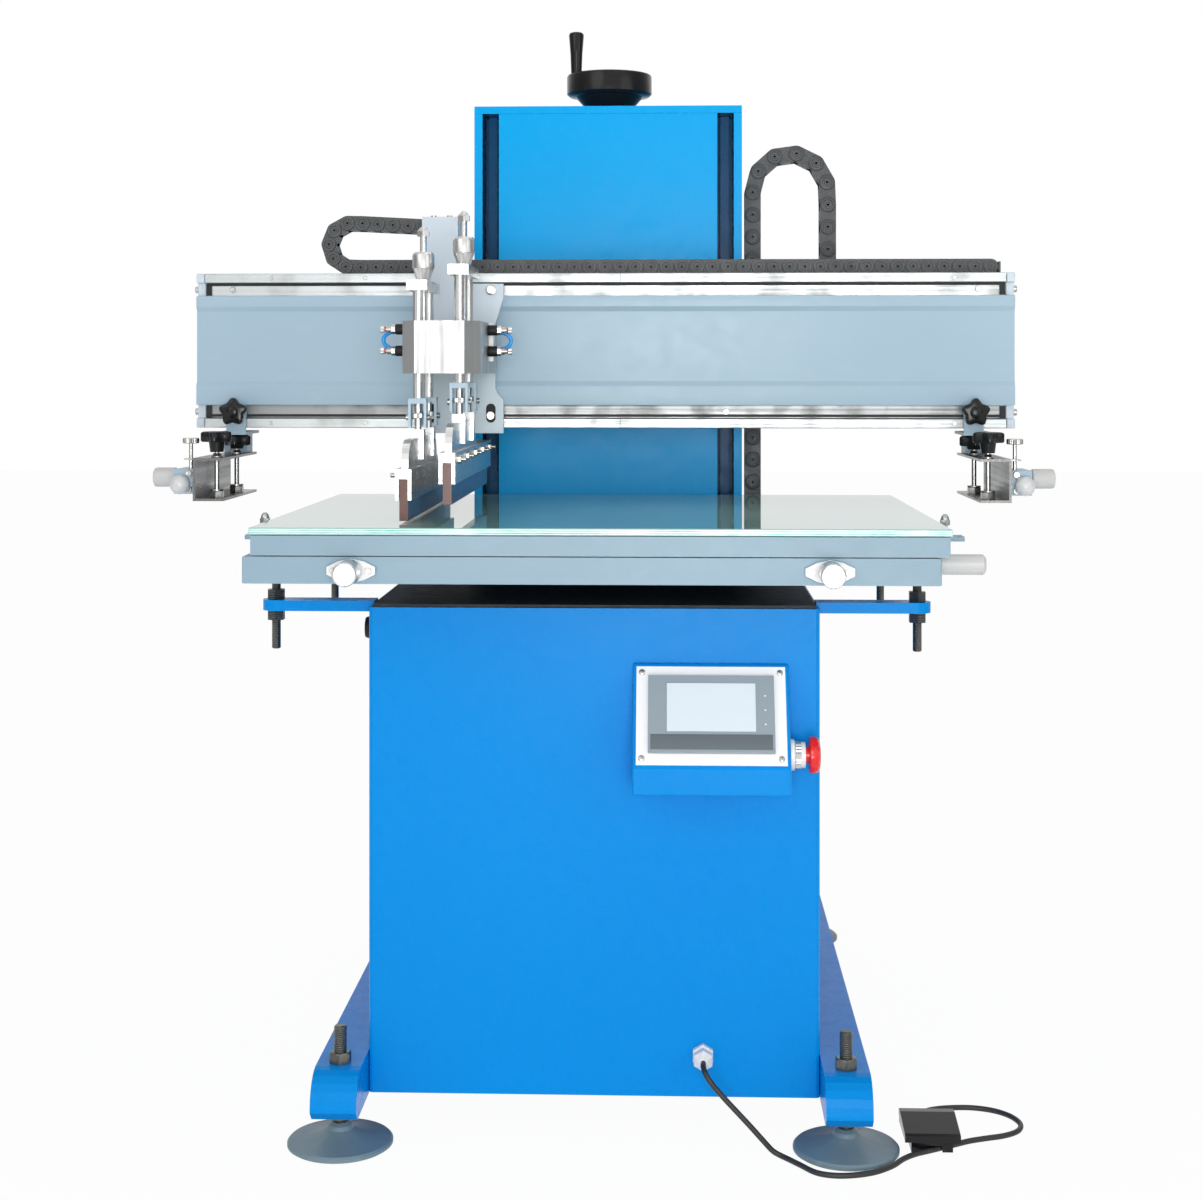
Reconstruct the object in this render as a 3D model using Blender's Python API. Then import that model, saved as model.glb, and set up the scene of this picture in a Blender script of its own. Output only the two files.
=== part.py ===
"""Flatbed screen printing machine: a cabinet on two legs carries a levelled glass table and a
column. A head slides on the column and carries the beam, the squeegee carriage and two
screen-frame clamps. Metres, +Z up, the operator stands on the -Y side.
"""
import math

import bmesh
import bpy
from mathutils import Matrix, Vector

# Clearances
GAP = 0.0003
RUN = 0.0005
MOVE = 0.005
MELT = 0.0004

# Cabinet and legs
CAB_FRONT = -0.334
CAB_HALF = 0.250
CAB_DEPTH = 0.760
CAB_BOTTOM = 0.043
CAB_TOP = 0.582
CAB_EDGE = 0.004
TOP_SHEET = 0.003
LEG_WIDTH = 0.050
LEG_BOTTOM = 0.041
LEG_HEIGHT = 0.0485
LEG_FRONT_REACH = 0.085
LEG_REAR_REACH = 0.045
LEG_NOSE = 0.035
FOOT_RADIUS = 0.0575
FOOT_HEIGHT = 0.020
FOOT_STUD = 0.0068
FOOT_SETBACK = 0.048
FOOT_STUD_TOP = 0.130
NUT_HEIGHT = 0.012

# Column and handwheel
COL_HALF = 0.182
COL_FRONT = CAB_FRONT + 0.493
COL_TOP = 1.195
COL_FLANGE = 0.011
COL_SLOT = 0.0225
COL_SLOT_DEPTH = 0.060
RAIL_WIDTH = 0.012
RAIL_DEPTH = 0.020
CAP_THICK = 0.010
WHEEL_SETBACK = 0.067
WHEEL_RADIUS = 0.059
WHEEL_RIM_LOW = 0.027
WHEEL_RIM_HEIGHT = 0.024
WHEEL_HUB = 0.0335
WHEEL_SHAFT = 0.010
GRIP_REACH = 0.046
GRIP_HEIGHT = 0.060
GRIP_RADIUS = 0.0115

# Table
GLASS_TOP = 0.678
TOP_ASIDE = 0.009
GLASS_THICK = 0.008
GLASS_HALF = 0.373
GLASS_FRONT = CAB_FRONT - 0.097
GLASS_DEPTH = 0.576
PLATE_HALF = 0.370
PLATE_THICK = 0.021
PLATE_LIP = 0.003
BASE_HALF = 0.370
BASE_THICK = 0.029
BASE_SPLIT = 0.001
TAB_REACH = 0.034
TAB_THICK = 0.005
TAB_WIDTH = 0.030
TAB_POST = 0.003
TAB_POST_INSET = 0.020
ARM_THICK = 0.012
ARM_WIDTH = 0.030
ARM_TOP = 0.586
ARM_STUD = 0.005
ARM_STUD_REACH = 0.362
ARM_STUD_LOW = 0.530
ARM_FRONT = CAB_FRONT + 0.043
ARM_SPAN = 0.387
KNOB_REACH = 0.253
KNOB_RADIUS = 0.013
KNOB_LENGTH = 0.042
SIDE_KNOB_RADIUS = 0.011
SIDE_KNOB_LENGTH = 0.052
SIDE_KNOB_RISE = 0.004
FLANGE_HALF = 0.026
FLANGE_THICK = 0.004

# Beam
BEAM_HALF = 0.515
BEAM_END = 0.010
BEAM_LOW = 0.773
BEAM_TOP = 0.968
BEAM_BACK = CAB_FRONT + 0.420
BEAM_CORE_FRONT = CAB_FRONT + 0.302
STRIP_PROUD = 0.008
STRIP_HEIGHT = 0.012
COVER_LOW = 0.802
COVER_HIGH = 0.9395
COVER_PROUD = 0.006
COVER_RIB = 0.004
COVER_RIB_LOW = 0.832
COVER_RIB_HIGH = 0.920
BEND = 0.006
SADDLE_HALF = 0.140
SADDLE_LOW = 0.795
SADDLE_HIGH = 0.950
SADDLE_DEPTH = 0.060

# Drag chains
TRAY_CHAIN_PITCH = 0.0195
TRAY_CHAIN_HEIGHT = 0.019
TRAY_CHAIN_WIDTH = 0.028
TRAY_CHAIN_BACK = CAB_FRONT + 0.358
TRAY_CHAIN_RIGHT = 0.501
TRAY_CHAIN_BEND_X = -0.325
TRAY_CHAIN_BEND = 0.0285
TRAY_CHAIN_UPPER = 0.121
TRAY_CHAIN_DROOP = math.radians(3.0)
LIFT_CHAIN_PITCH = 0.031
LIFT_CHAIN_HEIGHT = 0.022
LIFT_CHAIN_WIDTH = 0.030
LIFT_CHAIN_BEND = 0.0515
LIFT_CHAIN_SETBACK = 0.047
LIFT_CHAIN_LOW = 0.620
LIFT_CHAIN_BEND_Z = 1.0925
LIFT_CHAIN_END_Z = 0.940
CHAIN_STEP = 0.0016

# Carriage
CARRIAGE_X = -0.1765
PLATE_X_LOW = -0.228
PLATE_X_HIGH = -0.124
CARRIAGE_LOW = BEAM_LOW - 0.006
CARRIAGE_HIGH = BEAM_TOP - 0.014
CARRIAGE_THICK = 0.010
CARRIAGE_WAIST = 0.010
LOWER_EAR = 0.0415
UPPER_EAR = 0.018
EAR_SLOPE = 0.0155
POST_INSET = 0.002
POST_WIDTH = 0.045
POST_TOP = BEAM_TOP + 0.070
SHOE_LENGTH = 0.080
BLOCK_WIDTH = 0.089
BLOCK_LOW = BEAM_TOP - 0.126
BLOCK_HIGH = BEAM_TOP - 0.066
BLOCK_FRONT = CAB_FRONT + 0.043
BLOCK_CHAMFER_X = 0.016
BLOCK_CHAMFER_Y = 0.020
FITTING_RADIUS = 0.006
FITTING_REACH = 0.029
FITTING_UPPER = BLOCK_HIGH - 0.009
FITTING_SPACING = 0.025
FITTING_LEFT_Y = CAB_FRONT + 0.090
FITTING_RIGHT_Y = CAB_FRONT + 0.155
HOSE_RADIUS = 0.002

# Squeegees
SQUEEGEE_X = -0.207
FLOOD_X = -0.159
FLOOD_RAISE = 0.018
ROD_RADIUS = 0.006
ROD_FRONT = CAB_FRONT + 0.093
ROD_REAR = CAB_FRONT + 0.190
SPINDLE_RADIUS = 0.004
LINK_WIDTH = 0.024
LINK_THICK = 0.012
LINK_LOW = BLOCK_HIGH + 0.036
LINK_OVERHANG = 0.014
STROKE_KNOB_RADIUS = 0.0125
STROKE_KNOB_HEIGHT = 0.033
SPINDLE_TOP = LINK_LOW + 0.078
CLEVIS_HIGH = 0.813
CLEVIS_LOW = 0.779
CLEVIS_WIDTH = 0.021
CLEVIS_DEPTH = 0.016
CLEVIS_WALL = 0.003
HANGER_HIGH = 0.777
HANGER_LOW = 0.743
HANGER_WIDTH = 0.015
HANGER_DEPTH = 0.018
KNURL_RADIUS = 0.0070
BLADE_FRONT = CAB_FRONT - 0.029
BLADE_LENGTH = 0.412
BLADE_THICK = 0.0095
BLADE_HIGH = 0.726
SHEET_ROOM = 0.0023
HOLDER_LOW = 0.703
HOLDER_HIGH = 0.737
HOLDER_WIDTH = 0.018
SPINE_HIGH = 0.768
SPINE_THICK = 0.008
SPINE_CORNER = 0.028
SPINE_INSET = 0.014
SPINE_BEHIND_ROD = 0.050

# Screen-frame clamps
CLAMP_OUT = 0.490
CLAMP_IN = CLAMP_OUT - 0.037
CLAMP_LOW = 0.688
CLAMP_HIGH = 0.740
CLAMP_WALL = 0.003
CLAMP_FRONT = CAB_FRONT + 0.173
CLAMP_DEPTH = 0.190
CLAMP_SCREW_REACH = CLAMP_OUT - 0.025
CLAMP_SCREW_FRONT = CAB_FRONT + 0.192
CLAMP_SCREW_REAR = CAB_FRONT + 0.300
CLAMP_SCREW = 0.003
CLAMP_KNOB = 0.0180
CLAMP_KNOB_LOW = CLAMP_HIGH + 0.0065
CLAMP_KNOB_FRONT_HIGH = CLAMP_HIGH + 0.0315
CLAMP_KNOB_REAR_HIGH = CLAMP_HIGH + 0.0235
HANGER_CLAMP_HALF = 0.012
HANGER_LEG_DEPTH = 0.030
HANGER_LEG_WIDTH = 0.030
HANGER_CLAMP_THICK = 0.006
HANGER_CLAMP_TOP = 0.803
STAR_KNOB = 0.0162
ADJUSTER_REACH = CLAMP_OUT + 0.060
ADJUSTER_BODY = 0.026
ADJUSTER_LOW = 0.696
ADJUSTER_HIGH = 0.726
ADJUSTER_KNOB = 0.012

# Console, emergency stop, gland and pedal
CONSOLE_LOW_X = 0.044
CONSOLE_HIGH_X = 0.215
CONSOLE_LOW = 0.388
CONSOLE_FASCIA = 0.417
CONSOLE_HIGH = 0.522
CONSOLE_REACH = 0.062
CONSOLE_TOP_REACH = 0.006
PANEL_THICK = 0.002
PANEL_MARGIN = 0.004
BEZEL_LENGTH = 0.137
BEZEL_HEIGHT = 0.086
BEZEL_THICK = 0.007
SCREEN_LENGTH = 0.097
SCREEN_HEIGHT = 0.055
STOP_Z = 0.428
STOP_BACK = 0.034
STOP_COLLAR = 0.014
STOP_COLLAR_LENGTH = 0.016
STOP_STEM = 0.009
STOP_HEAD = 0.020
STOP_TRAVEL = 0.004
GLAND_X = 0.121
GLAND_Z = 0.090
GLAND_RADIUS = 0.011
GLAND_LENGTH = 0.028
BUTTON_RADIUS = 0.014
BUTTON_REACH = 0.012
PEDAL_LOW_X = 0.338
PEDAL_WIDTH = 0.060
PEDAL_FRONT = CAB_FRONT - 0.045
PEDAL_DEPTH = 0.060
PEDAL_FLOOR = 0.011
PEDAL_HEEL_HIGH = 0.020
PEDAL_HEEL_DEPTH = 0.010
PAD_FRONT_HIGH = 0.0215
PAD_REAR_HIGH = 0.0288
PAD_THICK = 0.0045
PAD_WALL = 0.0025
PAD_SKIRT_LOW = 0.013
PAD_PLAY = 0.005
CORD_RADIUS = 0.003

UP = Vector((0.0, 0.0, 1.0))
BLUE = ((0.0, 0.27, 0.76), 0.32, 0.0)
COLUMN_BLUE = ((0.0, 0.42, 0.93), 0.30, 0.0)
GREY_BLUE = ((0.42, 0.55, 0.67), 0.38, 0.0)
ALUMINIUM = ((0.80, 0.80, 0.80), 0.33, 1.0)
STEEL = ((0.52, 0.53, 0.52), 0.28, 1.0)
BLACK = ((0.012, 0.013, 0.014), 0.25, 0.0)
CHAIN_BLACK = ((0.045, 0.050, 0.050), 0.55, 0.0)
FOOT_GREY = ((0.16, 0.22, 0.25), 0.50, 0.0)
GLASS_GREEN = ((0.62, 0.82, 0.77), 0.06, 0.0)
RUBBER_RED = ((0.20, 0.045, 0.02), 0.45, 0.0)
WHITE = ((0.80, 0.82, 0.83), 0.40, 0.0)
RED = ((0.75, 0.01, 0.01), 0.30, 0.0)


def clear_scene():
    for item in list(bpy.data.objects):
        bpy.data.objects.remove(item, do_unlink=True)


def finished(bm, name="body"):
    bmesh.ops.recalc_face_normals(bm, faces=bm.faces)
    mesh = bpy.data.meshes.new(name)
    bm.to_mesh(mesh)
    bm.free()
    return mesh


def prism(outline, axis, low, high):
    """Closed body with a flat outline, pushed along X, Y or Z.

    The outline gives the two other coordinates in X, Y, Z order.
    """
    index = "XYZ".index(axis)
    bm = bmesh.new()
    rings = []
    for level in (low, high):
        ring = []
        for first, second in outline:
            point = [first, second]
            point.insert(index, level)
            ring.append(bm.verts.new(point))
        rings.append(ring)
    bm.faces.new(rings[0])
    bm.faces.new(list(reversed(rings[1])))
    count = len(outline)
    for i in range(count):
        j = (i + 1) % count
        bm.faces.new((rings[0][i], rings[0][j], rings[1][j], rings[1][i]))
    return finished(bm)


def box(low, high):
    corners = [(low[0], low[1]), (high[0], low[1]), (high[0], high[1]), (low[0], high[1])]
    return prism(corners, "Z", low[2], high[2])


def arc(centre, radius, start, end, steps):
    """Points of an arc in a plane, angles in degrees, both ends included."""
    points = []
    for i in range(steps + 1):
        angle = math.radians(start + (end - start) * i / steps)
        points.append((centre[0] + radius * math.cos(angle), centre[1] + radius * math.sin(angle)))
    return points


def ring_radius(shape, radius, angle):
    """Distance from the axis: round, six-sided by its flats, or with five lobes."""
    if shape == "hex":
        sector = math.radians(60)
        return radius / math.cos((angle + sector / 2) % sector - sector / 2)
    if shape == "star":
        return radius * (1.0 + 0.14 * math.cos(5 * (angle - math.pi / 2)))
    return radius


def turned(rings, origin, direction=UP, sides=24):
    """Closed body from rings (height, radius, shape) along an axis."""
    place = Matrix.Translation(origin) @ Vector(direction).to_track_quat("Z", "Y").to_matrix().to_4x4()
    bm = bmesh.new()
    loops = []
    for ring in rings:
        height, radius = ring[0], ring[1]
        shape = ring[2] if len(ring) > 2 else "round"
        loop = []
        for i in range(sides):
            angle = 2 * math.pi * i / sides
            reach = ring_radius(shape, radius, angle)
            point = Vector((reach * math.cos(angle), reach * math.sin(angle), height))
            loop.append(bm.verts.new(place @ point))
        loops.append(loop)
    bm.faces.new(loops[0])
    bm.faces.new(list(reversed(loops[-1])))
    for low, high in zip(loops, loops[1:]):
        for i in range(sides):
            j = (i + 1) % sides
            bm.faces.new((low[i], low[j], high[j], high[i]))
    return finished(bm)


def combined(mesh, tools, operation):
    """Booleans in turn: UNION or DIFFERENCE of one mesh with others."""
    base = bpy.data.objects.new("base", mesh)
    bpy.context.collection.objects.link(base)
    for tool_mesh in tools:
        tool = bpy.data.objects.new("tool", tool_mesh)
        bpy.context.collection.objects.link(tool)
        step = base.modifiers.new("step", "BOOLEAN")
        step.operation = operation
        step.solver = "EXACT"
        step.object = tool
        graph = bpy.context.evaluated_depsgraph_get()
        result = bpy.data.meshes.new_from_object(base.evaluated_get(graph))
        base.modifiers.clear()
        base.data = result
        bpy.data.objects.remove(tool, do_unlink=True)
    result = base.data
    bpy.data.objects.remove(base, do_unlink=True)
    return result


def fused(*meshes):
    return combined(meshes[0], meshes[1:], "UNION")


def cut(mesh, *tools):
    return combined(mesh, tools, "DIFFERENCE")


def paint(name, look):
    colour, roughness, metallic = look
    material = bpy.data.materials.new(name + "_finish")
    material.use_nodes = True
    shader = material.node_tree.nodes["Principled BSDF"]
    shader.inputs["Base Color"].default_value = (*colour, 1.0)
    shader.inputs["Roughness"].default_value = roughness
    shader.inputs["Metallic"].default_value = metallic
    return material


def piece(name, mesh, look, origin=(0.0, 0.0, 0.0), edge=0.0, edge_steps=1):
    """One named object with its own material, its origin where it turns or slides."""
    mesh.transform(Matrix.Translation(-Vector(origin)))
    mesh.shade_smooth()
    mesh.set_sharp_from_angle(angle=math.radians(32))
    mesh.materials.clear()
    mesh.materials.append(paint(name, look))
    obj = bpy.data.objects.new(name, mesh)
    obj.location = origin
    bpy.context.collection.objects.link(obj)
    if edge > 0.0:
        bevel = obj.modifiers.new("edge", "BEVEL")
        bevel.width = edge
        bevel.segments = edge_steps
        bevel.limit_method = "ANGLE"
        bevel.angle_limit = math.radians(40)
    return obj


def arm_places():
    for side in (-1, 1):
        for row, y in (("front", ARM_FRONT), ("rear", ARM_FRONT + ARM_SPAN)):
            word = "left" if side < 0 else "right"
            yield side, word, row, y


def build_cabinet():
    """Closed housing with the four welded arms that carry the table's studs."""
    shell = box((-CAB_HALF, CAB_FRONT, CAB_BOTTOM), (CAB_HALF, CAB_FRONT + CAB_DEPTH, CAB_TOP))
    bevelled = bmesh.new()
    bevelled.from_mesh(shell)
    uprights = [e for e in bevelled.edges if abs((e.verts[0].co - e.verts[1].co).z) > 0.1]
    bmesh.ops.bevel(bevelled, geom=uprights, offset=CAB_EDGE, segments=2, affect="EDGES", profile=0.5)
    shell = finished(bevelled)
    arms = []
    holes = []
    for side, _, row, y in arm_places():
        half = ARM_WIDTH / 2
        tip = (side * ARM_STUD_REACH, y)
        start = -90 if side > 0 else 90
        inner = side * (CAB_HALF - CAB_EDGE / 2)
        outline = arc(tip, half, start, start + 180, 8)
        outline += [(inner, y + side * half), (inner, y - side * half)]
        arms.append(prism(outline, "Z", ARM_TOP - ARM_THICK, ARM_TOP))
        holes.append(turned([(ARM_TOP - 0.050, ARM_STUD + RUN), (ARM_TOP + 0.050, ARM_STUD + RUN)],
                            (tip[0], tip[1], 0.0), sides=12))
    piece("cabinet", cut(fused(shell, *arms), *holes), BLUE)
    inset = CAB_EDGE
    sheet_back = COL_FRONT - RUN
    piece("cabinet_top_sheet",
          box((-CAB_HALF + inset, CAB_FRONT + inset, CAB_TOP + GAP),
              (CAB_HALF - inset, sheet_back, CAB_TOP + GAP + TOP_SHEET)), BLACK)
    button = turned([(0.0, BUTTON_RADIUS), (0.004, BUTTON_RADIUS), (BUTTON_REACH, BUTTON_RADIUS * 0.82)],
                    (-CAB_HALF - GAP, CAB_FRONT + 0.060, CAB_TOP - 0.030), (-1, 0, 0))
    piece("side_button", button, BLACK)


def build_studs():
    """Levelling studs with a nut on each side of the arm, up to the table's base."""
    base_low = GLASS_TOP - GLASS_THICK - PLATE_THICK - BASE_THICK - BASE_SPLIT - 2 * GAP
    nut = ARM_STUD * 1.75
    above = ARM_TOP + GAP
    below = ARM_TOP - ARM_THICK - GAP
    for side, word, row, y in arm_places():
        rings = [(ARM_STUD_LOW, ARM_STUD * 0.8), (ARM_STUD_LOW + 0.001, ARM_STUD),
                 (below - 0.011, ARM_STUD), (below - 0.011, nut, "hex"), (below, nut, "hex"),
                 (below, ARM_STUD), (above, ARM_STUD), (above, nut, "hex"), (above + 0.011, nut, "hex"),
                 (above + 0.011, ARM_STUD), (base_low - GAP, ARM_STUD)]
        piece("table_stud_%s_%s" % (row, word), turned(rings, (side * ARM_STUD_REACH, y, 0.0), sides=12), STEEL)


def build_legs():
    """Box-section legs along the cabinet's sides, on four levelling feet."""
    front = CAB_FRONT - LEG_FRONT_REACH
    rear = CAB_FRONT + CAB_DEPTH + LEG_REAR_REACH
    top = LEG_BOTTOM + LEG_HEIGHT
    profile = arc((front + LEG_NOSE, top - LEG_NOSE), LEG_NOSE, 180, 90, 6)
    profile += [(rear, top), (rear, LEG_BOTTOM), (front + 0.010, LEG_BOTTOM), (front, LEG_BOTTOM + 0.010)]
    middle = CAB_HALF + GAP + LEG_WIDTH / 2
    places = (("front", front + FOOT_SETBACK), ("rear", rear - FOOT_SETBACK))
    for side, word in ((-1, "left"), (1, "right")):
        inner = side * (CAB_HALF + GAP)
        outer = side * (CAB_HALF + GAP + LEG_WIDTH)
        holes = []
        for row, y in places:
            holes.append(turned([(0.0, FOOT_STUD + RUN), (0.2, FOOT_STUD + RUN)], (side * middle, y, 0.0)))
        leg = prism(profile, "X", min(inner, outer), max(inner, outer))
        piece("leg_" + word, cut(leg, *holes), BLUE)
        for row, y in places:
            build_foot("foot_%s_%s" % (row, word), (side * middle, y, 0.0), top)


def build_foot(name, place, leg_top):
    nut = FOOT_STUD * 1.6
    seat = leg_top + GAP
    rings = [(0.0, FOOT_RADIUS - 0.002), (0.003, FOOT_RADIUS), (0.006, FOOT_RADIUS - 0.001),
             (FOOT_HEIGHT - 0.003, FOOT_STUD + 0.010), (FOOT_HEIGHT, FOOT_STUD + 0.008),
             (LEG_BOTTOM - 0.014, FOOT_STUD), (LEG_BOTTOM - 0.013, nut, "hex"), (LEG_BOTTOM - GAP, nut, "hex"),
             (LEG_BOTTOM - GAP, FOOT_STUD),
             (seat, FOOT_STUD), (seat, nut, "hex"), (seat + NUT_HEIGHT, nut, "hex"),
             (seat + NUT_HEIGHT, FOOT_STUD), (FOOT_STUD_TOP - 0.0015, FOOT_STUD),
             (FOOT_STUD_TOP, FOOT_STUD - 0.0015)]
    piece(name, turned(rings, place, sides=24), FOOT_GREY)


def build_column():
    """Column with two guide slots, each with its rail, and a cap with the spindle's bearing."""
    back = CAB_FRONT + CAB_DEPTH
    slot_out = COL_HALF - COL_FLANGE
    slot_in = slot_out - COL_SLOT
    floor = COL_FRONT + COL_SLOT_DEPTH
    rail_mid = (slot_in + slot_out) / 2
    half = [(slot_in, COL_FRONT), (slot_in, floor), (rail_mid - RAIL_WIDTH / 2, floor),
            (rail_mid - RAIL_WIDTH / 2, floor - RAIL_DEPTH), (rail_mid + RAIL_WIDTH / 2, floor - RAIL_DEPTH),
            (rail_mid + RAIL_WIDTH / 2, floor), (slot_out, floor), (slot_out, COL_FRONT),
            (COL_HALF, COL_FRONT), (COL_HALF, back)]
    outline = half + [(-x, y) for x, y in reversed(half)]
    body = prism(outline, "Z", CAB_TOP + GAP, COL_TOP)
    anchor_x = COL_HALF + MOVE + LIFT_CHAIN_HEIGHT + 0.004
    anchor_y = COL_FRONT + LIFT_CHAIN_SETBACK
    anchor = box((COL_HALF - 0.004, anchor_y - LIFT_CHAIN_WIDTH / 2, LIFT_CHAIN_LOW - GAP - 0.020),
                 (anchor_x, anchor_y + LIFT_CHAIN_WIDTH / 2, LIFT_CHAIN_LOW - GAP))
    piece("column", fused(body, anchor), COLUMN_BLUE)
    wheel = (0.0, COL_FRONT + WHEEL_SETBACK, 0.0)
    low = COL_TOP + GAP
    cap = box((-COL_HALF, COL_FRONT, low), (COL_HALF, back, low + CAP_THICK))
    hole = turned([(low - 0.01, WHEEL_SHAFT + RUN), (low + 0.1, WHEEL_SHAFT + RUN)], wheel)
    piece("column_cap", cut(cap, hole), COLUMN_BLUE)
    build_handwheel(wheel, low)


def build_handwheel(place, low):
    """Dished handwheel with its shaft in the cap and a turning grip on the rim."""
    seat = low + CAP_THICK + RUN
    rim = seat + WHEEL_RIM_LOW
    top = rim + WHEEL_RIM_HEIGHT
    inner = WHEEL_RADIUS - 0.020
    rings = [(low + RUN, WHEEL_SHAFT), (seat, WHEEL_SHAFT), (seat, WHEEL_HUB - 0.008),
             (rim - 0.006, WHEEL_HUB), (rim - 0.002, WHEEL_RADIUS - 0.012), (rim + 0.004, WHEEL_RADIUS - 0.003),
             (rim + WHEEL_RIM_HEIGHT / 2, WHEEL_RADIUS), (top - 0.005, WHEEL_RADIUS - 0.002),
             (top, WHEEL_RADIUS - 0.008), (top - 0.002, inner + 0.004), (top - 0.010, inner - 0.004),
             (top - 0.011, 0.016), (top - 0.002, 0.014), (top, 0.012)]
    wheel = turned(rings, place, sides=28)
    grip_place = (-GRIP_REACH, place[1], 0.0)
    grip = turned([(rim + 0.006, 0.006), (top + 0.002, 0.006), (top + 0.003, GRIP_RADIUS - 0.003),
                   (top + GRIP_HEIGHT * 0.55, GRIP_RADIUS - 0.001), (top + GRIP_HEIGHT - 0.005, GRIP_RADIUS),
                   (top + GRIP_HEIGHT, GRIP_RADIUS - 0.004)], grip_place, sides=12)
    piece("handwheel", fused(wheel, grip), BLACK, place)


def build_table():
    """Levelled base, sliding upper plate with side tabs, and the printing glass."""
    back = GLASS_FRONT + GLASS_DEPTH
    plate_high = GLASS_TOP - GLASS_THICK - GAP
    plate_low = plate_high - PLATE_THICK
    base_high = plate_low - BASE_SPLIT
    base_low = base_high - BASE_THICK
    front = GLASS_FRONT - PLATE_LIP
    base = box((-BASE_HALF, front, base_low), (BASE_HALF, back, base_high))
    middle = (base_low + base_high) / 2
    flanges = []
    for side in (-1, 1):
        outline = []
        for x, z in ((0, 0.013), (-0.014, 0.010), (-FLANGE_HALF, 0.004), (-FLANGE_HALF, -0.004),
                     (-0.014, -0.010), (0, -0.013), (0.014, -0.010), (FLANGE_HALF, -0.004),
                     (FLANGE_HALF, 0.004), (0.014, 0.010)):
            outline.append((side * KNOB_REACH + x, middle + z))
        flanges.append(prism(outline, "Y", front - FLANGE_THICK, front + 0.003))
    piece("table_base", fused(base, *flanges), GREY_BLUE, edge=0.0012)
    plate = box((TOP_ASIDE - PLATE_HALF, front, plate_low), (TOP_ASIDE + PLATE_HALF, back, plate_high))
    tabs = []
    for side in (-1, 1):
        tip = TOP_ASIDE + side * (PLATE_HALF + TAB_REACH)
        tab_low = plate_low + 0.006
        x_pair = sorted((TOP_ASIDE + side * (PLATE_HALF - 0.004), tip))
        tabs.append(box((x_pair[0], ARM_FRONT - TAB_WIDTH / 2, tab_low),
                        (x_pair[1], ARM_FRONT + TAB_WIDTH / 2, tab_low + TAB_THICK)))
        rings = [(tab_low + 0.001, TAB_POST), (GLASS_TOP - 0.006, TAB_POST),
                 (GLASS_TOP - 0.006, TAB_POST * 1.7, "hex"), (GLASS_TOP, TAB_POST * 1.7, "hex"),
                 (GLASS_TOP, TAB_POST * 1.4), (GLASS_TOP + 0.004, TAB_POST * 1.1), (GLASS_TOP + 0.006, 0.002)]
        tabs.append(turned(rings, (tip - side * TAB_POST_INSET, ARM_FRONT, 0.0), sides=12))
    piece("table_plate", fused(plate, *tabs), GREY_BLUE)
    glass = box((TOP_ASIDE - GLASS_HALF, GLASS_FRONT, plate_high + GAP), (TOP_ASIDE + GLASS_HALF, back, GLASS_TOP))
    piece("table_glass", glass, GLASS_GREEN, edge=0.001)
    for side, word in ((-1, "left"), (1, "right")):
        place = (side * KNOB_REACH, front - FLANGE_THICK - RUN, middle)
        rings = [(0.0, KNOB_RADIUS - 0.003), (0.006, KNOB_RADIUS - 0.003), (0.007, KNOB_RADIUS),
                 (KNOB_LENGTH - 0.0015, KNOB_RADIUS), (KNOB_LENGTH, KNOB_RADIUS - 0.0015)]
        piece("table_knob_" + word, turned(rings, place, (0, -1, 0)), ALUMINIUM, place)
    place = (BASE_HALF + RUN, front + 0.045, middle + SIDE_KNOB_RISE)
    rings = [(0.0, SIDE_KNOB_RADIUS - 0.001), (0.002, SIDE_KNOB_RADIUS),
             (SIDE_KNOB_LENGTH - 0.003, SIDE_KNOB_RADIUS), (SIDE_KNOB_LENGTH, SIDE_KNOB_RADIUS - 0.003)]
    piece("table_side_knob", turned(rings, place, (1, 0, 0)), WHITE, place)


def build_beam():
    """Extruded beam with a strip along each front edge, bent cover, ends and saddle."""
    end = BEAM_HALF - BEAM_END - GAP
    strip = BEAM_CORE_FRONT - STRIP_PROUD
    core = [(strip, BEAM_LOW), (BEAM_BACK, BEAM_LOW), (BEAM_BACK, BEAM_TOP), (strip, BEAM_TOP),
            (strip, BEAM_TOP - STRIP_HEIGHT), (BEAM_CORE_FRONT, BEAM_TOP - STRIP_HEIGHT),
            (BEAM_CORE_FRONT, BEAM_LOW + STRIP_HEIGHT), (strip, BEAM_LOW + STRIP_HEIGHT)]
    piece("beam", prism(core, "X", -end, end), ALUMINIUM, edge=0.0008)
    back = BEAM_CORE_FRONT - GAP
    flat = back - COVER_PROUD
    rib = flat - COVER_RIB
    cover = [(back, COVER_LOW), (back, COVER_HIGH), (flat, COVER_HIGH), (flat, COVER_RIB_HIGH + BEND),
             (rib, COVER_RIB_HIGH), (rib, COVER_RIB_LOW), (flat, COVER_RIB_LOW - BEND), (flat, COVER_LOW)]
    piece("beam_cover", prism(cover, "X", -BEAM_HALF, BEAM_HALF), GREY_BLUE)
    for side, word in ((-1, "left"), (1, "right")):
        x_pair = sorted((side * BEAM_HALF, side * (BEAM_HALF - BEAM_END)))
        piece("beam_end_" + word, prism(core, "X", *x_pair), GREY_BLUE, edge=0.0008)
    build_saddle()


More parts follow.
